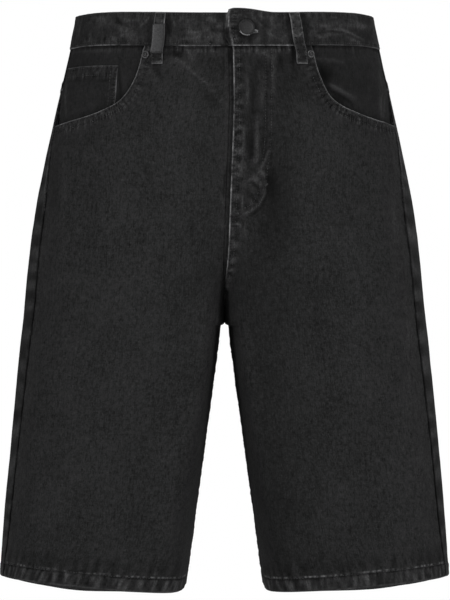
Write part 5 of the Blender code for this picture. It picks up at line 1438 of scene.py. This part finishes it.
def facing(side):
    """Hip piece as a closed wall."""
    first = POCKET_MOUTH[side][0][0]
    steps = (first - 0.055 + spaced(0.0, (1.0 - first + 0.055) * HIP_LENGTH, 1.7) / HIP_LENGTH)[:, None]
    share = spaced(0.0, 1.0, 0.019, (0.0, 0.012))[None, :]
    low = facing_low(side, steps)
    height = low + share * (waist_seam(steps) + SEAM_LAP - low)
    across = np.minimum(steps, 1.0 - 0.5 * SEAM / front_length(height))
    layer, marks = facing_face(side, across, height, marks=True)
    edge_in = round_off((1.0 - across) * front_length(height), EDGE_ROUND, 0.6)
    name, layers = sided("pocket_facing", side), (layer - edge_in, layer - WALL)
    cloth_map = (across * front_length(height) * side, height + 90.0)
    return worn_wall(name + "_cloth", side, across, height, layers, cloth_map, marks, denim_shaded), name


def coin_top(across):
    """Height of the coin pocket's top edge."""
    return COIN_TOP + waist_rise(across)


def coin_face(side, across, height, marks=False):
    """Outer layer of the coin pocket: on the facing, doubled for 11 mm under its top edge."""
    down = coin_top(across) - height
    places = np.linspace(0.553, 0.955, 60)
    rows = [("second", places, coin_top(places) - by, 167 + i) for i, by in enumerate(COIN_TOP_ROWS)]
    near_edge = np.linspace(-60.0, -96.0, 30)
    rows.append(("edge", np.full(30, COIN_ACROSS[0] + COIN_TOP_ROWS[0] / HIP_LENGTH), near_edge, 171))
    spots = bare(side, across, height)
    relief, sewing = sewn(side, spots, rows)
    layer = facing_face(side, across, height) + SEAM + COIN_WALL + 0.45 * smooth((11.6 - down) / 1.2) + relief
    if not marks:
        return layer
    places = np.linspace(*COIN_ACROSS, 60)
    edges = [(0.50, places, coin_top(places), 173), (0.42, np.full(30, COIN_ACROSS[0]), near_edge, 175)]
    nearest, worn = worn_edges(side, spots, edges)
    # painted light and shade: blotchy ridges and hollows with no relief under them, and shade towards the mouth
    blotches = 0.55 * crumple(spots, 9.0) * smooth((14.0 - down) / 4.0)
    tone = wash_and_shade_tone(side, across, height, relief + blotches)
    tone = tone * seam_shade(height - line(POCKET_MOUTH[RIGHT], across), 0.4, 6.0)
    return layer, {**sewing, "edge": nearest, "worn": worn, "tone": tone}


def coin_pocket():
    """Patch pocket on the right facing; its foot lies behind the front."""
    span = (COIN_ACROSS[1] - COIN_ACROSS[0]) * HIP_LENGTH
    across = (COIN_ACROSS[0] + spaced(0.0, span, 2.4) / HIP_LENGTH)[:, None]
    low = facing_low(RIGHT, across)
    low = low + 0.14 * (coin_top(across) - low)
    share = spaced(0.0, 1.0, 0.05, (0.0, 0.012, 0.03))[None, :]
    height = low + share * (coin_top(across) - low)
    across, height = np.broadcast_arrays(across, height)
    layer, marks = coin_face(RIGHT, across, height, marks=True)
    edge_in = round_off(coin_top(across) - height, 1.2, 0.5)
    edge_in = edge_in + round_off((across - COIN_ACROSS[0]) * HIP_LENGTH, 1.2, 0.5)
    inner = facing_face(RIGHT, across, height) + SEAM
    layers, cloth_map = (layer - edge_in, inner), (across * HIP_LENGTH + 37.0, height + 210.0)
    return worn_wall("coin_pocket_cloth", RIGHT, across, height, layers, cloth_map, marks, denim_shaded)


def rows_of_coin():
    """The coin pocket's visible sewing: two rows under its top and two down its near edge."""
    places, height = np.linspace(0.556, 0.952, 60), np.linspace(-60.5, -97.0, 30)
    top = [("second", places, coin_top(places) - by) for by in COIN_TOP_ROWS]
    return top + [("edge", np.full(30, COIN_ACROSS[0] + by / HIP_LENGTH), height) for by in (2.2, 8.0)]


for side in (LEFT, RIGHT):
    hip, node = facing(side)
    dress(hip, node)
    print(hip.name, len(hip.data.polygons), "faces")
coin = coin_pocket()
topstitch = stitching("coin_pocket_topstitch", sew_rows(RIGHT, rows_of_coin(), coin_face), thread)
dress(coin, "coin_pocket")

# %% [markdown]
# ## Back pockets
# Two plain patch pockets in the standard place, each with a pointed foot, a doubled hem along its top and two
# rows round its other edges, on the points of the leg panel moved out.

# %% Back pockets
# width and height, the rows inside the sides and the foot, and those under the top
POCKET_WIDE, POCKET_HIGH = 106.0, 155.0
POCKET_ROWS, POCKET_TOP_ROWS = (2.4, 8.6), (2.4, 11.4)
POCKET_SPAN = np.linspace(0.03, 0.97, 60)


def pocket_grid(share, rise):
    """Across and height of a place on a back pocket: share from side to centre, rise from foot to top."""
    top = BACK_POCKET_TOP[0] + (BACK_POCKET_TOP[1] - BACK_POCKET_TOP[0]) * share
    point = np.sqrt((2.0 * share - 1.0) ** 2 + 0.004)
    foot = BACK_POCKET_FOOT[0] + (BACK_POCKET_FOOT[1] - BACK_POCKET_FOOT[0]) * (1.0 - point)
    height = foot + rise * (top - foot)
    near = np.interp(-height, -BACK_POCKET["height"], BACK_POCKET["near_side"])
    far = np.interp(-height, -BACK_POCKET["height"], BACK_POCKET["near_centre"])
    return near + share * (far - near), height, top


def pocket_outline(by):
    """Across and height of the line a distance inside the sides and the foot."""
    side_share, foot_rise = by / POCKET_WIDE, by / POCKET_HIGH
    share = np.concatenate([np.full(60, side_share), np.linspace(side_share, 1.0 - side_share, 80),
                            np.full(60, 1.0 - side_share)])
    rise = np.concatenate([np.linspace(0.985, foot_rise, 60), np.full(80, foot_rise),
                           np.linspace(foot_rise, 0.985, 60)])
    keep = np.concatenate([[True], (np.abs(np.diff(share)) + np.abs(np.diff(rise))) > 1e-6])
    return pocket_grid(share[keep], rise[keep])[:2]


def pocket_top(by):
    """Across and height of the line a distance under the top edge."""
    return pocket_grid(POCKET_SPAN, 0.0 * POCKET_SPAN + 1.0 - by / POCKET_HIGH)[:2]


def back_pocket_face(side, across, height, marks=False):
    """Outer layer of a back pocket on the leg panel, its top strip doubled."""
    spots = bare(side, across, height)
    lines = [pocket_outline(by) for by in POCKET_ROWS] + [pocket_top(by) for by in POCKET_TOP_ROWS]
    kinds = ("edge", "second", "edge", "second")
    rows = [(kind, *place, 181 + 2 * k + side) for k, (kind, place) in enumerate(zip(kinds, lines))]
    relief, sewing = sewn(side, spots, rows)
    share = (across - 1.284) / 0.432
    down = BACK_POCKET_TOP[0] + (BACK_POCKET_TOP[1] - BACK_POCKET_TOP[0]) * share - height
    layer = back_face(side, across, height) + SEAM + WALL
    layer = layer + 0.8 * smooth((BACK_POCKET_HEM - down) / 1.2) + relief
    if not marks:
        return layer
    edges = [(0.6, *pocket_outline(0.1), 191 + side), (0.85, *pocket_top(0.0), 193 + side)]
    nearest, worn = worn_edges(side, spots, edges)
    return layer, {**sewing, "edge": nearest, "worn": worn, "tone": wash_and_shade_tone(side, across, height, relief)}


for side in (LEFT, RIGHT):
    node = sided("back_pocket", side)
    share = spaced(0.0, POCKET_WIDE, 2.6)[:, None] / POCKET_WIDE
    rise = spaced(0.0, POCKET_HIGH, 2.6)[None, :] / POCKET_HIGH
    across, height, _ = pocket_grid(*np.broadcast_arrays(share, rise))
    layer, marks = back_pocket_face(side, across, height, marks=True)
    rim = np.minimum(np.minimum(share, 1.0 - share) * POCKET_WIDE, np.minimum(rise, 1.0 - rise) * POCKET_HIGH)
    inner = back_face(side, across, height) + SEAM
    layers = (layer - round_off(rim, EDGE_ROUND, 0.7), inner)
    cloth_map = ((across - 1.0) * back_length(height) * side + 51.0, height + 333.0)
    pocket = worn_wall(node + "_cloth", side, across, height, layers, cloth_map, marks)
    rows = [("edge", *pocket_outline(by)) for by in POCKET_ROWS]
    rows += [("edge", *pocket_top(by)) for by in POCKET_TOP_ROWS]
    topstitch = stitching(node + "_topstitch", sew_rows(side, rows, back_pocket_face), thread)
    dress(pocket, node)
    print(pocket.name, len(pocket.data.polygons), "faces")

# %% [markdown]
# ## Waistband
# One doubled strip runs from the button tab on the wearer's left, round the back and under the tab again. The
# belt area bends when worn, so it has more short creases than the legs, and its lower edge is rubbed pale in
# an almost unbroken line.

# %% Waistband surface
# length of a quarter of the band, where its end stops, how far it goes on under the tab, and its rows
band_length = float(front_length(-18.0))
BAND_START, BAND_UNDER, BAND_ROW_RISES, TAB_ROW = 9.0, 28.0, (0.068, 0.932), 0.078
# how worn the lower edge is along the front: x and share
BAND_WEAR = ((-158.0, 1.0), (-106.0, 1.2), (-100.0, 0.1), (-50.0, 0.1), (-44.0, 1.2), (-8.0, 1.4), (-2.0, 0.1),
             (8.0, 0.2), (9.0, 1.7), (76.0, 1.3), (80.0, 0.1), (97.0, 0.2), (100.0, 1.3), (112.0, 1.1),
             (124.0, 0.5), (132.0, 0.15), (158.0, 0.3), (162.0, 0.8))

# the pale fold beside the tab's end: rise and place across
TAB_FOLD = ((0.0, 0.056), (0.06, 0.059), (0.21, 0.067), (0.37, 0.067), (0.5, 0.0594), (0.72, 0.0550),
            (0.87, 0.052), (1.0, 0.050))


def band_place(across, rise):
    """Moved across, height and shift of the waistband: the tab lifts off, bulges and slants at its end."""
    low, high = waist_seam(across), waist_rise(across)
    height = low + rise * (high - low)
    # the tab lies flat again 68 mm from the centre front, its crest ends at 54 mm, and its tip is lower
    distance = across * band_length
    tab = 1.0 - smooth((distance - 42.0) / 26.0)
    crest = 1.0 - smooth((distance - 18.0) / 36.0)
    corner = smooth((distance - 6.0) / 9.0)
    height = height + crest * (0.5 + 0.5 * corner) * TAB_RAISE * rise
    under = smooth((across - 4.0 + 18.0 / band_length) / (20.0 / band_length))
    bulge = TAB_FOOT + TAB_ABOVE * smooth(rise / 0.3) - TAB_TOP * smooth((rise - 0.82) / 0.18)
    moved = across - bulge / band_length * (1.0 - smooth((distance - BAND_START) / 25.0))
    return moved, height, TAB_LIFT * tab - 0.6 * under


def band_face(across, rise, marks=False):
    """Outer layer of the waistband from its rows, with the puckers of a bent belt."""
    moved, height, shift = band_place(across, rise)
    long_way = np.linspace(0.06, 3.97, 900)
    rows = [("band", *band_place(long_way, np.full(900, at))[:2], seed)
            for at, seed in zip(BAND_ROW_RISES, (201, 203))]
    rows.append(("edge", *band_place(np.full(30, TAB_ROW), np.linspace(0.06, 0.94, 30))[:2], 205))
    spots = bare(LEFT, moved, height)
    relief, sewing = sewn(LEFT, spots, rows)
    fine = relief + 0.55 * crumple(spots, 14.0)
    layer = BAND_PROUD + shift + fine + 0.9 * unevenness(spots) - 0.15
    if not marks:
        return layer, moved, height
    long_way, end_rise = np.linspace(0.044, 3.97, 900), np.linspace(0.0, 1.0, 40)
    edges = [(strength, *band_place(long_way, np.full(900, at))[:2], seed)
             for at, strength, seed in ((0.0, 0.62, 207), (1.0, 0.25, 209))]
    edges.append((0.55, *band_place(np.full(40, 0.0435), end_rise)[:2], 211))
    inner = np.interp(end_rise, *np.array(TAB_FOLD).T)
    edges.append((1.6, *band_place(inner, end_rise)[:2], 213))
    nearest, worn = worn_edges(LEFT, spots, edges)
    in_front = (np.mod(moved, 4.0) < 1.0) | (np.mod(moved, 4.0) > 3.0)
    worn *= np.where((rise < 0.5) & in_front, np.interp(spots[..., 0], *np.array(BAND_WEAR).T), 1.0)
    tone = wash_and_shade_tone(LEFT, moved, height, fine)
    # painted shade in the tuck just inside the tab's end
    tuck_shade = np.exp(-((across * band_length - 10.9) / 1.5) ** 2)
    tuck_shade = tuck_shade * smooth((rise - 0.08) / 0.1) * smooth((0.62 - rise) / 0.25)
    return layer, moved, height, {**sewing, "edge": nearest, "worn": worn, "tone": tone * (1.0 - 0.75 * tuck_shade)}


def band_row(across, rise, lift=STITCH_LIFT, **bead):
    """Stitch row on the waistband."""
    layer, moved, height = band_face(across, rise)
    return sew(LEFT, moved, height, layer + lift, **bead)


# %% Mesh of the waistband and its sewing
tab_steps = spaced(BAND_START, 80.0, 1.7)[:-3] / band_length
round_back = np.linspace(tab_steps[-1] + 0.009, 3.86, 470)
under_steps = (4.0 * band_length + spaced(-26.0, BAND_UNDER, 2.6)) / band_length
across = np.concatenate([tab_steps, round_back, under_steps])[:, None]
rise = spaced(0.0, BAND_HEIGHT, 1.35, (0.0, 0.4, 1.0, 1.8))[None, :] / BAND_HEIGHT
across, rise = np.broadcast_arrays(across, rise)
layer, moved, height, marks = band_face(across, rise, marks=True)
rim = np.minimum(rise, 1.0 - rise) * BAND_HEIGHT
ends = np.minimum(across * band_length - BAND_START, 4.0 * band_length + BAND_UNDER - across * band_length)
edge_in = round_off(np.minimum(rim, ends), 1.4, 0.9)
shift = band_place(across, rise)[2]
layers = (layer - edge_in, BAND_INSIDE + shift + 0.5 * edge_in)
cloth_map = (across * band_length, height + 500.0)
waistband = worn_wall("waistband_cloth", LEFT, moved, height, layers, cloth_map, marks)
long_way = np.linspace(0.060, 3.93, 1300)
band_rows = [band_row(long_way, np.full(1300, at)) for at in BAND_ROW_RISES]
band_rows.append(band_row(np.full(40, TAB_ROW), np.linspace(0.07, 0.93, 40)))
topstitch = stitching("waistband_topstitch", band_rows, thread)
dress(waistband, "waistband")
print(waistband.name, len(waistband.data.polygons), "faces;", len(topstitch.data.polygons), "in its sewing")

# %% Buttonhole beside the button
# middle of the hole from the centre front and from the top of the band, and its half length and half height
HOLE_MIDDLE, HOLE_DROP, HOLE_LONG, HOLE_HIGH = 28.4, 20.2, 7.4, 1.6
hole_turn = np.linspace(0.0, 2.0 * np.pi, 120)
hole_across = (HOLE_MIDDLE + HOLE_LONG * np.cos(hole_turn)) / band_length
hole_rise = (BAND_HEIGHT - HOLE_DROP + HOLE_HIGH * np.sin(hole_turn)) / (BAND_HEIGHT + TAB_RAISE)
hole_row = band_row(hole_across, hole_rise, TACK_LIFT, pitch=0.62, length=2.3, thick=0.36, crossways=True)
stitching("buttonhole_stitches", [hole_row], pale_thread)

# %% [markdown]
# ## Belt loops
# Each loop is a narrow folded strip with two rows, sewn down at the waist edge and just below the waistband,
# and standing a little off it between. Its folded edges are among the palest lines of the garment.

# %% Belt loops
LOOP_PATH = ((0.6, 1.55), (5.0, 1.7), (9.0, 3.5), (13.0, 3.9), (24.0, 4.0), (35.0, 4.0), (45.0, 3.9),
             (48.5, 2.6), (51.5, 1.0), (52.6, 0.75), (56.0, 0.75))
LOOPS = (
    ("belt_loop_front_right", RIGHT, 0.337, 0.337), ("belt_loop_front_left", LEFT, 0.366, 0.392),
    ("belt_loop_side_right", RIGHT, 1.310, 1.306), ("belt_loop_side_left", LEFT, 1.310, 1.304),
    ("belt_loop_back", LEFT, 2.0, 2.0),
)
# length of a loop, its rows from the middle, where it creases, and where the clip starts and ends on it
LOOP_LENGTH, LOOP_ROW, LOOP_BEND, LEFT_LOOP_BEND, CLIP_TOP, CLIP_FOOT = 56.0, 4.4, 43.0, 27.5, 13.4, 45.4
half_round = 0.5 * float(look_up(2, np.array(2.0), np.array(-30.0)))
loop_down, loop_layer = traced(*np.array(LOOP_PATH).T, 0.9)


def loop_place(across_top, across_bottom, width, down):
    """Across and height of a place on a loop, from its width and its distance below the waist edge."""
    middle = across_top + (across_bottom - across_top) * down / LOOP_LENGTH
    across = middle + width / half_round
    return across, waist_rise(middle + 0.0 * across) - down


def belt_loop(name, side, across_top, across_bottom, seed):
    """Loop as a closed wall with its two rows, and bar tacks at both ends."""
    width = spaced(-LOOP_HALF_WIDTH, LOOP_HALF_WIDTH, 1.1, (0.0, 0.35, 0.8))[:, None]
    down, layer = loop_down[::-1][None, :], loop_layer[::-1][None, :]
    across, height = loop_place(across_top, across_bottom, width, down)
    from_row = np.abs(width) - LOOP_ROW
    wave = ripple(down + 0.4 * width, 3.6, seed) * np.exp(-(from_row / 1.8) ** 2)
    groove = np.exp(-(from_row / 0.6) ** 2)
    bend = LEFT_LOOP_BEND if name == "belt_loop_front_left" else LOOP_BEND
    fold = 0.8 * np.exp(-((down - bend + 0.7 * np.abs(width + 1.0)) / 1.0) ** 2)
    body = 0.25 * np.cos(width / LOOP_HALF_WIDTH * 1.5) + 0.30 * wave - 0.25 * groove + fold
    ends = np.minimum(down - LOOP_PATH[0][0], LOOP_PATH[-1][0] - down)
    rim = np.minimum(LOOP_HALF_WIDTH - np.abs(width), ends)
    outer = layer + LOOP_WALL + body - round_off(rim, 1.1, 0.8)
    inner = layer + 0.3 * round_off(rim, 1.1, 0.8)
    low_end = smooth((down - bend) / 4.0)
    worn = 0.62 + 0.3 * ripple(down + width, 5.0, seed + 1)
    # ridges painted paler and grooves darker, partly wash and partly painted light and shade; the end below the
    # bend is painted in shade
    marks = {"edge": rim + 0.15, "worn": worn * (1.0 - 0.4 * low_end),
             "rub": 0.55 * np.clip(wave, 0.0, 1.0) + 0.5 * smooth((down - 52.5) / 2.0),
             "tone": np.exp(1.3 * np.tanh(body / 0.6)) * (0.90 - 0.42 * low_end),
             "run": down * MM, "rib": np.exp(-(from_row / 1.5) ** 2)}
    cloth_map = (width + seed * 20.0, -down)
    piece = worn_wall(name + "_cloth", side, across, height, (outer, inner), cloth_map, marks)
    rows, places = [], np.linspace(3.0, 54.0, 90)
    for by in (-LOOP_ROW, LOOP_ROW):
        row_across, row_height = loop_place(across_top, across_bottom, np.full(90, by), places)
        level = np.interp(places, loop_down, loop_layer) + LOOP_WALL - 0.05
        rows.append(sew(side, row_across, row_height, level))
    for at in (2.6, 53.6):
        widths = np.linspace(-5.4, 5.4, 30)
        row_across, row_height = loop_place(across_top, across_bottom, widths, np.full(30, at))
        level = np.interp(at, loop_down, loop_layer) + LOOP_WALL + TACK_LIFT
        rows.append(sew(side, row_across, row_height, level, pitch=0.5, length=2.0, thick=0.3, crossways=True))
    topstitch = stitching(name + "_topstitch", rows, thread)
    dress(piece, name)
    return piece


for k, (name, side, across_top, across_bottom) in enumerate(LOOPS):
    loop = belt_loop(name, side, across_top, across_bottom, 221 + k)
print("belt loops", len(LOOPS), "of", len(loop.data.polygons), "faces")

# %% [markdown]
# ## Metal
# The button, the rivets and the clip on the loop are dark plated metal, brushed and dull. The button's rim
# carries a painted highlight on its lower left, and the rivets' rims and nubs are brighter, partly rubbed and
# partly a painted highlight. The real clip is engraved; here its face is left bare. Button and rivets are
# turned from a profile, the clip is a bent strip with soft bends.

# %% Metal finishes
def plated_metal(name, colour, bright, roughness, brush):
    """Plated metal: fine brush lines and small dull patches over one dark colour."""
    material, tree, shader = new_material(name)
    place = add_node(tree, "ShaderNodeTexCoord").outputs["Object"]
    lines = grain(tree, place, brush, 3.0, 0.6)
    patches = grain(tree, place, (0.0016, 0.0016), 3.0, 0.6, 4.0)
    worn = calc(tree, "MULTIPLY_ADD", patches, 0.6, calc(tree, "MULTIPLY", lines, 0.5))
    tree.links.new(mixed(tree, spread(tree, worn, 0.40, 0.74), colour, bright), shader.inputs["Base Color"])
    dull = spread(tree, lines, 0.3, 0.7, roughness - 0.07, roughness + 0.09)
    tree.links.new(dull, shader.inputs["Roughness"])
    shader.inputs["Metallic"].default_value = 1.0
    grained(tree, shader, lines, 0.25, 0.00008)
    return material


TURNED, BRUSHED = (0.0009, 0.0009), (0.0004, 0.009)
button_metal = plated_metal("dark_button_plating", (0.020, 0.020, 0.0203), (0.038, 0.038, 0.0385), 0.52, TURNED)
# bright plating for the button rim's lower-left arc, a painted highlight; the hidden zip teeth use it too
rim_highlight_metal = plated_metal("rim_plating_painted_highlight", (0.11, 0.11, 0.111), (0.30, 0.30, 0.303), 0.38, TURNED)
# brighter plating of the rivets' rims and nubs: partly rubbing, partly a painted highlight
rivet_metal = plated_metal("rivet_plating_rubbed_and_highlit", (0.045, 0.045, 0.0455), (0.10, 0.10, 0.101), 0.42, TURNED)
clip_metal = plated_metal("brushed_clip_plating", (0.024, 0.024, 0.0245), (0.056, 0.056, 0.057), 0.45, BRUSHED)


# %% Turned pieces
def turned(name, node, side, across, height, layer, profile, bright, rubbed, arc=(0.0, 360.0), segments=64,
           lean=0.0):
    """Round piece from a profile of radius and height rows, on the cloth's normal, leaning if asked.

    The bright rings get the brighter metal over an arc in degrees from the right: on the button's rim a
    painted highlight, on the rivets partly rubbing and partly a painted highlight.
    """
    across, height = np.asarray(across, float), np.asarray(height, float)
    centre = stand(side, across, height, (np.asarray(layer, float),))[0]
    axis = outward(side, across, height) + [lean, 0.0, 0.3 * lean]
    axis /= np.linalg.norm(axis)
    right = np.cross([0.0, 0.0, 1.0], axis)
    right /= np.linalg.norm(right)
    up = np.cross(axis, right)
    angle = np.arange(segments) * 2.0 * np.pi / segments
    radius, lift = np.array(profile[1:-1], float).T
    spokes = np.outer(np.cos(angle), right) + np.outer(np.sin(angle), up)
    rings = centre + radius[:, None, None] * spokes[None] + lift[:, None, None] * axis
    foot, crown = centre + axis * profile[0][1], centre + axis * profile[-1][1]
    points = np.concatenate([[foot], rings.reshape(-1, 3), [crown]])
    k = np.arange(segments)
    turn = (k + 1) % segments
    faces, finish = [], []
    rubbed_arc = (np.degrees(angle) >= arc[0]) & (np.degrees(angle) <= arc[1])
    for ring in range(len(radius) - 1):
        low, high = 1 + ring * segments, 1 + (ring + 1) * segments
        faces += np.stack([low + k, low + turn, high + turn, high + k], axis=1).tolist()
        finish += (rubbed_arc & (ring in bright)).astype(int).tolist()
    last = 1 + (len(radius) - 1) * segments
    faces += np.stack([0 * k, 1 + turn, 1 + k], axis=1).tolist()
    faces += np.stack([last + k, last + turn, 0 * k + len(points) - 1], axis=1).tolist()
    finish += [0] * 2 * segments
    mesh = bpy.data.meshes.new(name)
    mesh.from_pydata(points * MM, [], faces)
    mesh.materials.append(button_metal)
    mesh.materials.append(rubbed)
    mesh.polygons.foreach_set("material_index", finish)
    mesh.polygons.foreach_set("use_smooth", np.ones(len(faces), bool))
    return dress(new_piece(name, mesh), node)


BUTTON_PROFILE = ((0.0, 0.0), (3.0, 0.0), (7.1, 0.3), (8.3, 0.7), (8.85, 1.3), (9.0, 2.0), (8.85, 2.6),
                  (8.45, 2.95), (8.05, 3.0), (7.72, 2.85), (7.55, 2.5), (7.35, 2.42), (7.15, 2.55),
                  (6.7, 2.68), (3.5, 2.8), (0.0, 2.84))
RIVET_PROFILE = ((0.0, 0.0), (3.9, 0.0), (4.15, 0.35), (4.1, 0.75), (3.75, 1.1), (3.2, 1.2), (2.6, 1.05),
                 (2.2, 0.92), (1.9, 1.1), (1.7, 1.6), (1.3, 1.95), (0.7, 2.15), (0.0, 2.2))
# the rim's bright rings take the bright plating only over its lower-left arc: a painted highlight
turned("shank_button", "button", LEFT, 23.4 / float(front_length(-17.2)), -17.2,
       BAND_PROUD + TAB_LIFT + SEAM + 0.5, BUTTON_PROFILE, (3, 4, 5, 6), rim_highlight_metal,
       (205.0, 290.0), lean=0.20)
# the rivets' rims and nubs take the brighter plating all round: partly rubbing, partly a painted highlight
for side, name, distance, at in ((RIGHT, "rivet_right", 85.6, -44.4), (LEFT, "rivet_left", 94.0, -43.4)):
    turned("pocket_" + name, name, side, distance / float(front_length(at)), at, 0.45, RIVET_PROFILE,
           (1, 2, 3, 8, 9, 10), rivet_metal, segments=40)

# %% Bare clip on the front right loop
bend = np.linspace(0.0, np.pi / 2.0, 7)
clip_half, clip_face, clip_round = LOOP_HALF_WIDTH + 0.3 + PLATE_WALL, LOOP_WALL + 0.75 + PLATE_WALL, 1.3


def clip_profile(inset):
    """Width and lift of the bent strip: a flange, a quarter round, the face, a quarter round, a flange."""
    half, face, turn = clip_half - inset, clip_face - inset, clip_round - inset * 0.8
    right_width = half - turn + turn * np.cos(bend)
    right_lift = face - turn + turn * np.sin(bend)
    width = np.concatenate([[-half], -right_width, np.linspace(-half + turn, half - turn, 9)[1:-1],
                            right_width[::-1], [half]])
    lift = np.concatenate([[0.6], right_lift, np.full(7, face), right_lift[::-1], [0.6]])
    return width[:, None], lift[:, None]


clip_down = spaced(CLIP_TOP, CLIP_FOOT, 1.6, (0.0, 0.3, 0.8))[::-1][None, :]
clip_across = LOOPS[0][2]
grids = []
for inset in (0.0, PLATE_WALL):
    width, lift = clip_profile(inset)
    end_in = round_off(np.minimum(clip_down - CLIP_TOP, CLIP_FOOT - clip_down), 0.8, 0.3)
    across, height = loop_place(clip_across, clip_across, width * (1.0 - 0.035 * end_in), clip_down)
    layer = np.interp(clip_down, loop_down, loop_layer) + lift - end_in * (1.0 if inset == 0.0 else -0.2)
    grids.append(stand(RIGHT, across, height, (layer,))[0])
clip = cloth_wall("loop_clip", RIGHT, grids[0], grids[1], (width, clip_down),
                  {mark: np.zeros(across.shape) for mark in ("rub", "tone", "rib")}, clip_metal)
dress(clip, "loop_plate")
print("metal pieces made:", clip.name, len(clip.data.polygons), "faces")

# %% [markdown]
# ## Zip
# The zip hides behind the fly. Its tape is the rigid model's own strip with a woven finish, and its teeth are
# one small closed block repeated down the tape on two facing rows.

# %% Zip tape finish and teeth
tape, tree, shader = new_material("woven_zip_tape")
place = add_node(tree, "ShaderNodeTexCoord").outputs["Object"]
woven = mixed(tree, grain(tree, place, (0.0012, 0.0012)), (0.012, 0.012, 0.013), (0.035, 0.035, 0.036))
tree.links.new(woven, shader.inputs["Base Color"])
shader.inputs["Roughness"].default_value = 0.8
bpy.data.objects["fly_zip"].material_slots[0].material = tape

# rows of teeth from the foot of the zip to its top, each tooth a block of half sizes in millimetres
tooth_height = np.arange(-192.0, -46.0, 1.5)
facing_rows = 0.8 * np.where(np.arange(len(tooth_height)) % 2, 1, -1)
tooth_across = (line(FLY_EDGE, tooth_height) + 15.2 + facing_rows) / front_length(tooth_height)
tooth_middle = stand(LEFT, tooth_across, tooth_height, (np.full(len(tooth_height), -4.3),))[0]
tooth_out = outward(LEFT, tooth_across, tooth_height)
tooth_side = np.cross([0.0, 0.0, 1.0], tooth_out)
corners = np.array([(x, y, z) for x in (-1, 1) for y in (-1, 1) for z in (-1, 1)], float)
tooth_points = (tooth_middle[:, None] + corners[None, :, :1] * 1.3 * tooth_side[:, None]
                + corners[None, :, 1:2] * 0.55 * tooth_out[:, None] + corners[None, :, 2:] * [0.0, 0.0, 0.5])
block = np.array([[0, 1, 3, 2], [4, 6, 7, 5], [0, 4, 5, 1], [2, 3, 7, 6], [0, 2, 6, 4], [1, 5, 7, 3]])
tooth_faces = (block[None] + 8 * np.arange(len(tooth_height))[:, None, None]).reshape(-1, 4)
teeth_mesh = bpy.data.meshes.new("zip_teeth")
teeth_mesh.from_pydata(tooth_points.reshape(-1, 3) * MM, [], tooth_faces)
teeth_mesh.materials.append(rim_highlight_metal)
dress(new_piece("zip_teeth", teeth_mesh), None)
print("zip teeth:", len(tooth_height))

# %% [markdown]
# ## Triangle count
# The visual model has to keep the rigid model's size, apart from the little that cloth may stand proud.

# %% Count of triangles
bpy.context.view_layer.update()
meshes = [piece.data for piece in bpy.data.objects if piece.type == "MESH"]
print("about", sum(len(mesh.loop_triangles) or len(mesh.polygons) * 2 for mesh in meshes), "triangles in all")
